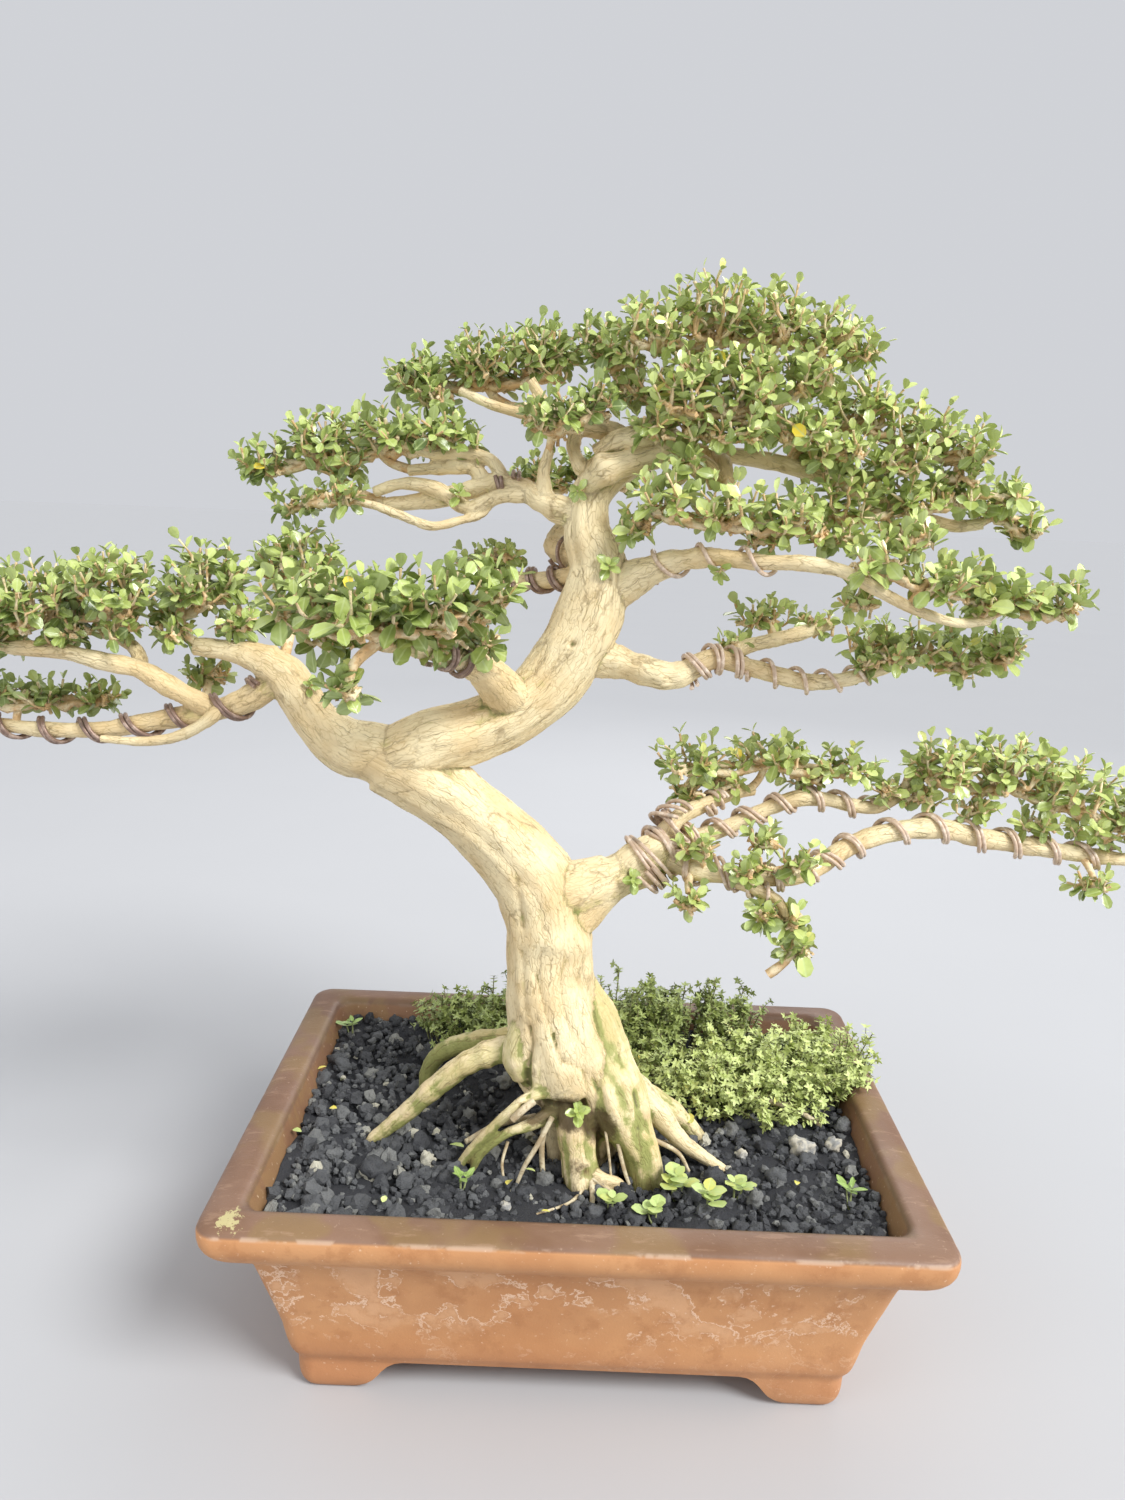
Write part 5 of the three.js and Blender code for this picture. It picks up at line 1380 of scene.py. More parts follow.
@dataclass
class TrainingWire:
    """Wire wound in loose double strands on the branches."""

    radius: float = 1.9 * MM
    steps: int = 26
    spacing: float = 2.15
    finish: AgedWire = AgedWire()
    faded: AgedWire = AgedWire("fadedWire", (0.58, 0.43, 0.31), (0.82, 0.69, 0.56), metallic=0.1)

    def build(self) -> None:
        """Winds each wire and dresses it."""
        aged, faded = self.finish.material(), self.faded.material()
        for node, coils in WIRES.items():
            lines = [self._strand(coil, k) for coil in coils for k in range(coil[5])]
            wire = tubes(node.replace("wire", "trainingWire"), lines, 2)
            settle(dressed(wire, faded if "Right" in node else aged), Slot.WIRE, node)

    def _strand(self, coil: tuple[str, float, float, float, float, int, float], number: int) -> Line:
        """One strand of a coil.

        Args:
            coil: Branch, stretch, turns, start angle, strands and slack.
            number: Which strand; the next one lies beside the first.

        Returns:
            Its line.
        """
        name, low, high, turns, start, _, slack = coil
        path = LIMBS[name]
        share = np.linspace(0, 1, round(turns * self.steps))
        run = path.along[-1]
        slip = number * (self.spacing * self.radius) / run
        angle = start + 2 * math.pi * turns * share + number * 0.12 * np.sin(share * 9)
        wave = np.sin(share * turns * 5.3 + number * 0.7 + start)
        loose = (0.5 + slack * (0.55 + 0.45 * wave)) * MM
        at = low + (high - low) * share + slip + slack * 0.9 * MM / run * np.sin(angle * 0.7 + number * 0.5)
        line = path.around(at, angle, 0.0)
        out = unit(line - path.around(at, angle, -0.004))
        return line + out * (self.radius + loose)[:, None], np.full(len(line), self.radius)


@dataclass(frozen=True)
class Blade:
    """A thin leaf blade one long, along X from its foot, modelled once for all its copies."""

    stations: Rows = ((0.0, 0.06), (0.32, 0.27), (0.7, 0.335), (0.96, 0.18))
    rows: int = 2
    fold: float = 0.3
    droop: float = 0.16
    thick: float = 0.035

    def model(self) -> Part:
        """Shapes a grid into the blade and gives it a lower side.

        Returns:
            The blade.
        """
        steps = len(self.stations) - 1
        blade = modelled(bpy.ops.mesh.primitive_grid_add, x_subdivisions=steps, y_subdivisions=self.rows, size=1)
        for vertex in blade.data.vertices:
            along, across = self.stations[round((vertex.co.x + 0.5) * steps)], vertex.co.y * 2
            x, y = along[0] + (1 - abs(across)) * 0.06 * (along[0] > 0.9), across * along[1]
            vertex.co = (x, y, abs(y) * self.fold - self.droop * x * x)
        edge = np.zeros(len(blade.data.vertices), bool)
        if self.thick:
            bpy.ops.object.mode_set(mode="EDIT")
            bpy.ops.mesh.select_all(action="SELECT")
            bpy.ops.mesh.duplicate()
            bpy.ops.mesh.flip_normals()
            bpy.ops.object.mode_set(mode="OBJECT")
            for vertex in blade.data.vertices:
                if vertex.select and abs(vertex.co.y) < 1e-4 and 0.1 < vertex.co.x < 0.95:
                    vertex.co.z -= self.thick
            bpy.ops.object.mode_set(mode="EDIT")
            bpy.ops.mesh.select_all(action="SELECT")
            bpy.ops.mesh.remove_doubles(threshold=1e-4)
            bpy.ops.object.mode_set(mode="OBJECT")
            at = np.array([vertex.co[:] for vertex in blade.data.vertices])
            edge = (np.abs(at[:, 1]) > 1e-3) | (at[:, 0] < 0.1) | (at[:, 0] > 0.95)
        return Part.taken(blade, edge)


@dataclass
class Foliage:
    """Leafy sprays: knobbly twigs that fill their lobes, with opposite pairs of leaves.

    A twig is given by its radii at base and tip, in millimetres, and the number of points along it.
    """

    blade: Blade = Blade()
    seed: int = 100
    spine: Twig = (3.9, 3.0, 8)
    feeder: Twig = (3.0, 2.2, 7)
    branchlet: Twig = (3.2, 2.2, 6)
    shoot: Twig = (1.8, 0.9, 6)
    shoot_length: float = 24 * MM
    shoots_per_area: float = 1.7
    branch_turn: float = 2.4
    pair_spread: Sequence[float] = (0.5, 0.85, 1.15, 1.3)
    pair_size: Sequence[float] = (0.72, 0.95, 1.08, 1.0)
    missing: float = 0.06
    yellow: float = 0.004
    sunny_side: float = 30
    sunny_fullness: float = 0.78
    # Painted light: the tint added to the leaves of sprays on the sunny right side, which makes them lighter.
    painted_sun_tint: float = 0.2
    margin: float = 6 * MM
    finish: Leaf = Leaf("premnaLeaf")
    twig_finish: TwigBark = TwigBark()

    def build(self) -> None:
        """Grows every spray and dresses it."""
        part = self.blade.model()
        leaf, twig = self.finish.material(), self.twig_finish.material()
        for number, (node, (length, stems, pads)) in enumerate(SPRAYS.items()):
            self.rng = np.random.default_rng(self.seed + number)
            self.sunny = pads[0][0][0] > self.sunny_side
            self.lines: list[Line] = [Path(stem).every(24) for stem in stems]
            self.leaves = Copies(part)
            for lobes in pads:
                self._pad(lobes, length * MM)
            for lobe in FILLERS.get(node, ()):
                self._filler(lobe, length * MM)
            name = node.replace("spray", "leaves")
            settle(self.leaves.on_stems(name, leaf, self.lines, twig), Slot.LEAF, node)

    def _pad(self, lobes: Rows, length: float) -> None:
        """Twigs through a pad's lobes, and the shoots of each lobe.

        Args:
            lobes: The lobes, from one to the next.
            length: The mean length of a leaf.
        """
        spine = placed(lobes) - [[0, 0, lobe[5] * MM * 0.62] for lobe in lobes]
        for first, second in zip(spine[:-1], spine[1:]):
            for shift in (-7 * MM, 8 * MM):
                bend = (first + second) / 2 + [0, shift * 1.6, shift * 0.5]
                self._twig(first, bend, second, self.spine)
        for at, lobe in zip(spine, lobes):
            self._lobe(at, placed([lobe])[0], np.array(lobe[3:]) * MM, length)

    def _filler(self, lobe: Sequence[float], length: float) -> None:
        """A lesser lobe on a twig from the nearest wood.

        Args:
            lobe: Its centre and half sizes.
            length: The mean length of a leaf.
        """
        centre, half = placed([lobe])[0], np.array(lobe[3:]) * MM
        base = centre - [0, 0, half[2] * 0.5]
        wood = np.vstack([path.at for path in LIMBS.values()] + [line for line, _ in self.lines])
        root = wood[np.argmin(np.linalg.norm(wood - base, axis=1))]
        self._twig(root, (root + base) / 2 + self.rng.normal(0, 5 * MM, 3), base, self.feeder)
        self._lobe(base, centre, half, length * 0.95)

    def _twig(self, start: np.ndarray, bend: np.ndarray, end: np.ndarray, kind: Twig) -> np.ndarray:
        """A knobbly twig that bends on its way.

        Args:
            start: Its base.
            bend: The point that it bends towards.
            end: Its tip.
            kind: Its radii and the number of its points.

        Returns:
            Its points.
        """
        thick, thin, steps = kind[0] * MM, kind[1] * MM, kind[2]
        share = np.linspace(0, 1, steps)[:, None]
        line = bent(start, bend, end, share)
        line[1:-1] += self.rng.normal(0, 1.1 * MM, (steps - 2, 3))
        knobs = np.where(np.arange(steps) % 2, 1.3, 0.82)
        self.lines.append((line, (thick + (thin - thick) * share[:, 0]) * knobs))
        return line

    def _lobe(self, base: np.ndarray, centre: np.ndarray, half: np.ndarray, length: float) -> None:
        """Branchlets from a lobe's base, and leafy shoots from them out to its surface.

        Args:
            base: Where its branchlets start.
            centre: The lobe's centre.
            half: Its half sizes.
            length: The mean length of a leaf.
        """
        rng, size = self.rng, float(np.cbrt(half.prod()))
        hubs = [base]
        for k in range(max(4, round(size / (5 * MM)))):
            reach = heading(k * self.branch_turn + rng.uniform(0, 0.8)) * rng.uniform(0.35, 0.75)
            hub = centre + half * (reach - [0, 0, rng.uniform(0.2, 0.75)])
            bend = (base + hub) / 2 + rng.normal(0, 4 * MM, 3)
            branchlet = self._twig(base, bend, hub, self.branchlet)
            hubs += [branchlet[3], hub]
            for at in branchlet[1:]:
                end = at + unit(rng.normal(0, 1, 3) + [0, 0, 0.5]) * rng.uniform(4, 10) * MM
                middle = (at + end) / 2 + rng.normal(0, 0.8 * MM, 3)
                self.lines.append((np.array([at, middle, end]), np.array([1.9, 1.4, 1.6]) * MM))
        area = half[0] * half[1] + half[2] * (half[0] + half[1]) * 0.5
        fullness = self.sunny_fullness if self.sunny else 1.0
        count = max(5, round(fullness * area / (length * length) * self.shoots_per_area))
        for k in range(count):
            up = 1 - 0.98 * (k + rng.uniform(0, 1)) / count
            turn = k * GOLDEN_TURN + rng.uniform(-0.4, 0.4)
            flat = math.sqrt(max(0.0, 1 - up * up))
            way = np.array([flat * math.cos(turn), flat * math.sin(turn), up])
            tip = centre + way * half * rng.uniform(0.72, 1.02) - [0, 0, half[2] * rng.uniform(0, 0.34)]
            grows = unit(way * 0.85 + [0, 0, 0.7] + rng.normal(0, 0.3, 3))
            foot = tip - grows * self.shoot_length * rng.uniform(0.7, 1.1)
            hub = min(hubs, key=lambda at: float(np.linalg.norm(at - foot)))
            self._shoot(self._twig(hub, foot, tip, self.shoot), length * 0.92)

    def _shoot(self, line: np.ndarray, length: float) -> None:
        """Pairs of leaves along the end of a shoot, each pair across the one before.

        Args:
            line: The shoot's points.
            length: The mean length of a leaf.
        """
        rng = self.rng
        cross = unit(np.cross(line[-1] - line[-2], rng.normal(0, 1, 3)))
        for k, (spread, size) in enumerate(zip(self.pair_spread, self.pair_size)):
            step = (1 - k * rng.uniform(0.2, 0.25)) * (len(line) - 1)
            low = min(int(step), len(line) - 2)
            at = line[low] + (line[low + 1] - line[low]) * (step - low)
            way = unit(line[low + 1] - line[low])
            cross = unit(np.cross(way, cross))
            spread += rng.normal(0, 0.14)
            for side in (cross, -cross):
                if rng.uniform() > 1 - self.missing:
                    continue
                long = length * size * rng.uniform(0.75, 1.25)
                # The tint falls away from the shoot's tip and, as painted light, rises for sprays on the sunny side.
                tint = 0.62 - 0.13 * k + self.painted_sun_tint * self.sunny + rng.normal(0, 0.14)
                angle = spread + rng.normal(0, 0.12)
                self._leaf(at, side, way, angle, long, 1.5 if rng.uniform() < self.yellow else tint)

    def _leaf(self, at: np.ndarray, side: np.ndarray, way: np.ndarray, spread: float, size: float,
              tint: float) -> None:
        """One leaf, unless it would stand outside the plant.

        Args:
            at: Its foot.
            side: The side of the shoot that it stands on.
            way: The way that the shoot grows.
            spread: Its angle away from that way.
            size: Its length.
            tint: Its colour, from 0 for old green to 1.5 for yellow.
        """
        along = side * math.sin(spread) + way * math.cos(spread)
        face = unit(way * math.sin(spread) - side * math.cos(spread) + [0, 0, 0.6] + self.rng.normal(0, 0.25, 3))
        tip = at + along * size
        if np.any(tip < np.array(CAD_BOX[0]) - self.margin) or np.any(tip > np.array(CAD_BOX[1]) + self.margin):
            return
        axes = blade_axes(along, face, self.rng.uniform(0.9, 1.15)) * size
        self.leaves.add(at + along * 0.8 * MM, axes, tint)


@dataclass
class GroundCover:
    """Beds of fine fleshy stems set all along with tiny leaves."""

    leaflet: Blade = Blade(((0.0, 0.08), (0.5, 0.26), (1.0, 0.08)), rows=1, fold=0.0, droop=0.2, thick=0.0)
    seed: int = 300
    size: float = 6.9 * MM
    spacing: float = 3.8 * MM
    bed_per_stem: float = 39
    tall_share: float = 0.12
    rosette_turn: float = 1.257
    finish: Leaf = Leaf("coverLeaf", ((0.22, 0.28, 0.065), (0.42, 0.5, 0.13), (0.68, 0.76, 0.3)), roughness=0.5)
    stalk: Leaf = Leaf("coverStalk", ((0.16, 0.15, 0.05), (0.25, 0.25, 0.09), (0.3, 0.34, 0.12)), roughness=0.6)

    def build(self) -> None:
        """Grows every bed and dresses it."""
        part = self.leaflet.model()
        leaf, stalk = self.finish.material(), self.stalk.material()
        for number, (node, (light, lobes)) in enumerate(COVER.items()):
            self.rng = np.random.default_rng(self.seed + number)
            self.lines: list[Line] = []
            self.leaves = Copies(part)
            for lobe in lobes:
                self._lobe(lobe, light)
            name = node.replace("groundCover", "fineCover")
            settle(self.leaves.on_stems(name, leaf, self.lines, stalk), Slot.COVER, node)

    def _lobe(self, lobe: Sequence[float], light: float) -> None:
        """The stems of one lobe.

        Args:
            lobe: Its centre and half sizes.
            light: The tint of its leaves.
        """
        rng = self.rng
        centre, half = placed([lobe])[0], np.array(lobe[3:]) * MM
        for k in range(round(half[0] * half[1] / 1e-6 / self.bed_per_stem)):
            out = math.sqrt(rng.uniform(0, 1))
            away = heading(k * GOLDEN_TURN) * out
            tall = rng.uniform(0.35, 1.0) + (0.45 if rng.uniform() < self.tall_share else 0.0)
            top = centre + (half + 7 * MM * tall) * away + [0, 0, half[2] * math.sqrt(1 - out * out * 0.9) * tall]
            foot = centre + half * away * 0.6
            foot[2] = SOIL_LEVEL * MM
            top += rng.normal(0, 5 * MM, 3)
            self._frond(foot, top, 1.1 * MM, light, True)

    def _frond(self, foot: np.ndarray, top: np.ndarray, thick: float, light: float, forks: bool) -> None:
        """A stem with its leaflets, and branchlets on a main one.

        Args:
            foot: Its base.
            top: Its tip.
            thick: Its radius.
            light: The tint of its leaves.
            forks: Whether it has branchlets.
        """
        rng, points = self.rng, 4
        arch = 0.26 * float(np.linalg.norm((top - foot)[:2]))
        bend = (foot + top) / 2 + rng.normal(0, 4 * MM, 3) + [0, 0, arch]
        line = bent(foot, bend, top, np.linspace(0, 1, points)[:, None])
        self.lines.append((line, np.linspace(thick, thick * 0.45, points)))
        way = unit(top - bend)
        step = self.spacing / float(np.linalg.norm(top - foot))
        for share in np.arange(0.35 if forks else 0.1, 1.0, step):
            at = bent(foot, bend, top, share)
            for side in range(2):
                across = unit(np.cross(way, rng.normal(0, 0.35, 3) + [0, 0, 1])) * (1 - 2 * side)
                along = unit(across + way * rng.uniform(0.2, 0.7))
                face = unit(way * 0.3 + UP + rng.normal(0, 0.2, 3))
                size = self.size * rng.uniform(0.7, 1.25) * (1 - 0.3 * share)
                tint = light - 0.3 + rng.normal(0, 0.1) + 0.42 * share
                self.leaves.add(at, blade_axes(along, face) * size, tint)
            if forks and rng.uniform() < 0.3:
                out = unit(across + way * 0.8)
                self._frond(at, at + out * rng.uniform(8, 16) * MM, thick * 0.6, light, False)
        around = unit(np.cross(way, [0.3, 0.2, 1.0]))
        for k in range(5):
            turn = k * self.rosette_turn + rng.uniform(0, 0.5)
            side = around * math.cos(turn) + np.cross(way, around) * math.sin(turn)
            axes = blade_axes(unit(side + way * 0.45), way) * self.size * rng.uniform(0.6, 0.9)
            self.leaves.add(top, axes, light * 0.8 + 0.04 + rng.normal(0, 0.08))


@dataclass
class Seedlings:
    """Round-leaved seedlings and small weeds in the grit."""

    round_blade: Blade = Blade(
        ((0.0, 0.08), (0.16, 0.34), (0.45, 0.52), (0.76, 0.44), (0.98, 0.16)), fold=0.1, droop=0.04, thick=0.05,
    )
    seed: int = 500
    finish: Leaf = Leaf("seedlingLeaf", ((0.12, 0.2, 0.04), (0.26, 0.4, 0.09), (0.5, 0.62, 0.22)), roughness=0.42)
    stalk: Leaf = Leaf("seedlingStalk", ((0.3, 0.34, 0.14), (0.42, 0.46, 0.2), (0.5, 0.52, 0.28)), roughness=0.5)

    def build(self) -> None:
        """Grows each plant and dresses it."""
        part = self.round_blade.model()
        leaf, stalk = self.finish.material(), self.stalk.material()
        for number, (node, (x, y, height, length, wide, light)) in enumerate(SEEDLINGS.items()):
            rng = np.random.default_rng(self.seed + number)
            leaves, lines = Copies(part), []
            foot = placed([(x, y, SOIL_LEVEL - 4)])[0]
            for k in range(3 if height > 16 else 2):
                turn = k * 2.2 + number
                lean = heading(turn) * (3.5 * MM if k else 0)
                top = foot + lean * 2 + [0, 0, (height + 6 - 4 * k) * MM]
                stem = np.array([foot + lean * 0.3, (foot + top) / 2 + lean * 0.4, top])
                lines.append((stem, np.array([1.1, 0.9, 0.7]) * MM))
                for pair in range(2):
                    spin = turn + pair * math.pi / 2 + rng.uniform(-0.3, 0.3)
                    for side in (0, math.pi):
                        along = unit(heading(spin + side, 0.35 + 0.3 * pair))
                        size = length * MM * (0.95 if pair == 0 else 0.6) * rng.uniform(0.85, 1.1)
                        axes = blade_axes(along, UP, wide) * size
                        leaves.add(top + [0, 0, pair * 2 * MM], axes, light + rng.normal(0, 0.06))
            plant = leaves.on_stems(f"{node}Plant", leaf, lines, stalk, roundness=1)
            settle(plant, Slot.SEEDLING, node)


@dataclass
class GritBed:
    """The pot's filling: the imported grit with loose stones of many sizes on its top."""

    half: tuple[float, float] = (259, 184)
    seed: int = 7
    kinds: int = 6
    tiers: Sequence[tuple[str, int, int, float, float]] = (
        ("gritLumps", 3, 132, 12, 18), ("gritStones", 2, 480, 9, 14.5), ("gritGrains", 1, 3500, 4.5, 9),
    )
    finish: Grit = Grit()

    def build(self) -> None:
        """Dresses the bed and scatters each tier of stones: its detail, count, smallest and largest size."""
        material = self.finish.material()
        dressed(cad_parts["soil"], material)
        rng = np.random.default_rng(self.seed)
        for name, detail, count, low, high in self.tiers:
            made = []
            for kind in range(self.kinds):
                stones = Copies(self.stone(detail, kind))
                self._scatter(stones, rng, count // self.kinds, low, high)
                made.append(stones.merged(name, smooth=detail > 2))
            settle(dressed(joined(name, made), material), Slot.SOIL)

    @staticmethod
    def stone(detail: int, kind: int) -> Part:
        """One angular stone, about one across.

        Args:
            detail: The ball's subdivisions.
            kind: Which shape.

        Returns:
            The stone.
        """
        stone = modelled(bpy.ops.mesh.primitive_ico_sphere_add, subdivisions=detail, radius=0.5)
        for vertex in stone.data.vertices:
            push = noise.noise(vertex.co * 2.6 + Vector((kind * 5.3, 1.7, detail))) * 0.55
            rough = (0.34 + 0.2 * (detail == 2)) * noise.noise(vertex.co * 7 + Vector((kind, 9, 2)))
            fine = 0.2 * noise.noise(vertex.co * 15 + Vector((2, kind, 5))) * (detail > 2)
            vertex.co *= 1 + push + rough + fine
        return Part.taken(stone)

    def _scatter(self, stones: Copies, rng: np.random.Generator, count: int, low: float, high: float) -> None:
        """Lays stones over the bed, clear of the wood.

        Args:
            stones: The copies to add to.
            rng: The random numbers.
            count: How many.
            low: The smallest size, in millimetres.
            high: The largest.
        """
        x, y = (rng.uniform(-half, half, count) for half in self.half)
        size = low + (high - low) * rng.beta(1.3, 2.6, count)
        front = np.clip((-x - 60) / 200, 0, 1) * np.clip((-y - 20) / 120, 0, 1)
        size *= 1 + 0.55 * front * (low > 8)
        z = SOIL_LEVEL + rng.uniform(-1.5, 4.5, count) + size * 0.08
        at = placed(np.column_stack([x, y, z]))
        for k in np.flatnonzero(Nearest(at).gap > 0):
            shape = tumbled(rng) * (size[k] * MM * rng.uniform(0.8, 1.2, 3)[:, None])
            tint = rng.beta(1.6, 5.0) + 0.28 * front[k] * rng.uniform(0.3, 1)
            stones.add(at[k], shape, min(tint, 0.8) if rng.uniform() > 0.012 else 0.95)


@dataclass
class Litter:
    """Loose sticks, rootlets, fallen leaves and pale stones on the grit, and sprigs on the trunk."""

    sticks: Sequence[Rows] = (
        ((-102, -61, 182, 2.6), (-76, -42, 188, 3.0), (-40, -19, 186, 2.6)),
        ((2, -112, 190, 2.2), (5, -118, 180, 1.8), (-6, -140, 179, 1.5), (-34, -158, 179, 0.9)),
        ((10, -116, 188, 1.2), (30, -128, 182, 1.0), (44, -132, 178, 0.8)),
        ((72, -60, 190, 1.6), (96, -58, 186, 1.4), (120, -66, 181, 1.0)),
        ((-62, -96, 206, 1.6), (-66, -104, 190, 1.4), (-64, -110, 178, 1.1)),
        ((176, 14, 194, 3.2), (206, 4, 192, 3.0), (232, -12, 184, 2.2)),
        ((-24, -104, 236, 2.4), (-36, -110, 212, 2.2), (-46, -113, 194, 2.0), (-52, -114, 178, 1.6)),
        ((22, -98, 226, 1.3), (26, -106, 206, 1.2), (30, -110, 178, 1.0)),
        ((34, -102, 212, 1.8), (40, -109, 192, 1.8), (46, -112, 176, 1.4)),
        ((-40, -106, 252, 3.2), (-50, -112, 246, 3.4), (-58, -114, 238, 3.0)),
        ((66, -90, 210, 2.2), (88, -94, 200, 2.0), (98, -96, 184, 1.4)),
        ((-30, -96, 226, 3.0), (-32, -100, 204, 2.6), (-30, -104, 178, 2.2)),
        ((10, -112, 188, 3.0), (13, -126, 180, 2.6), (12, -142, 174, 2.0)),
    )
    stones: Rows = ((206, -46, 182, 22), (237, -41, 181, 15), (-60, -150, 180, 9), (150, -60, 180, 10))
    fallen: Rows = (
        (102, -17, 190, 16, 1.2), (-274, -76, 182, 14, 1.4), (-115, -74, 184, 13, 0.5), (-46, -107, 184, 9, 0.9),
        (-60, -128, 182, 10, 1.3), (-252, -60, 182, 9, 0.6), (40, -70, 190, 9, 0.6), (-228, -20, 183, 8, 1.3),
        (-160, -150, 182, 8, 0.9), (190, -110, 181, 8, 1.25), (-30, -160, 181, 7, 1.2), (-255, 60, 182, 9, 1.25),
    )
    sprigs: Rows = (
        (-2, -108, 242, 12), (-24, -34, 758, 10), (6, -50, 702, 13), (96, -66, 712, 12), (-122, -16, 760, 12),
        (-98, -112, 642, 12), (36, -44, 436, 12), (70, -36, 440, 15), (-236, -72, 596, 11), (150, -54, 436, 13),
    )
    seed: int = 21
    finish: Leaf = Leaf("looseLeaf")
    dead_wood: TwigBark = TwigBark((0.44, 0.34, 0.2), (0.68, 0.59, 0.4))
    stone_grey: Colour = (0.3, 0.3, 0.29)
    stone_pale: Colour = (0.58, 0.54, 0.44)

    def build(self) -> None:
        """Lays the litter and sets the sprigs."""
        blade = Blade().model()
        leaf = self.finish.material()
        sticks = tubes("looseSticks", [Path(stick).every(16) for stick in self.sticks], 2)
        settle(dressed(sticks, self.dead_wood.material()), Slot.SOIL)
        rng = np.random.default_rng(self.seed)
        fallen = Copies(blade)
        for x, y, z, size, tint in self.fallen:
            along = unit(heading(rng.uniform(0, WHOLE_TURN), rng.uniform(-0.1, 0.3)))
            face = unit(np.array([rng.normal(0, 0.3), rng.normal(0, 0.3), 1.0]))
            fallen.add(placed([(x, y, z + 3)])[0], blade_axes(along, face) * size * MM, tint)
        settle(dressed(fallen.merged("fallenLeaves"), leaf), Slot.SOIL)
        self._sprigs(blade, leaf, rng)
        self._stones(rng)

    def _sprigs(self, blade: Part, leaf: bpy.types.Material, rng: np.random.Generator) -> None:
        """Small rosettes that break from the old wood.

        Args:
            blade: The leaf.
            leaf: Its finish.
            rng: The random numbers.
        """
        leaves, lines = Copies(blade), []
        at = placed(self.sprigs)
        near = Nearest(at, 0.06)
        for k, (point, out) in enumerate(zip(at, near.out)):
            foot = point - out * (near.gap[k] + 2 * MM)
            grows = unit(out + [0, 0, 0.4])
            size = self.sprigs[k][3] * MM
            stem = np.array([foot, foot + grows * 5 * MM, foot + grows * 9 * MM])
            lines.append((stem, np.array([1.4, 1.1, 0.9]) * MM))
            cross = unit(np.cross(grows, rng.normal(0, 1, 3)))
            for pair in range(4):
                cross = unit(np.cross(grows, cross) + rng.normal(0, 0.15, 3))
                spread = 1.4 - 0.28 * pair
                for side in (cross, -cross):
                    along = unit(side * math.sin(spread) + grows * math.cos(spread))
                    axes = blade_axes(along, grows) * size * rng.uniform(0.8, 1.15) * (1 - 0.1 * pair)
                    leaves.add(foot + grows * (4 + 2 * pair) * MM, axes, 0.5 + rng.normal(0, 0.12))
        settle(leaves.on_stems("trunkSprigs", leaf, lines, TwigBark().material(), roundness=1), Slot.LEAF)

    def _stones(self, rng: np.random.Generator) -> None:
        """The few pale stones among the grit.

        Args:
            rng: The random numbers.
        """
        stones = Copies(GritBed.stone(detail=3, kind=3))
        for x, y, z, size in self.stones:
            shape = tumbled(rng) * size * MM * rng.uniform(0.8, 1.1, 3)[:, None]
            stones.add(placed([(x, y, z)])[0], shape, 0.8)
        s = Shader("paleStone")
        colour = s.mix(s.noise(s.place(), 120, 4).between(0.4, 0.6), self.stone_grey, self.stone_pale)
        s.relief(s.noise(s.place(), 500, 4, 0.65), 1.0 * MM, 0.7)
        stone = s.set(base_color=colour, roughness=0.85)
        settle(dressed(stones.merged("paleStones"), stone), Slot.SOIL)


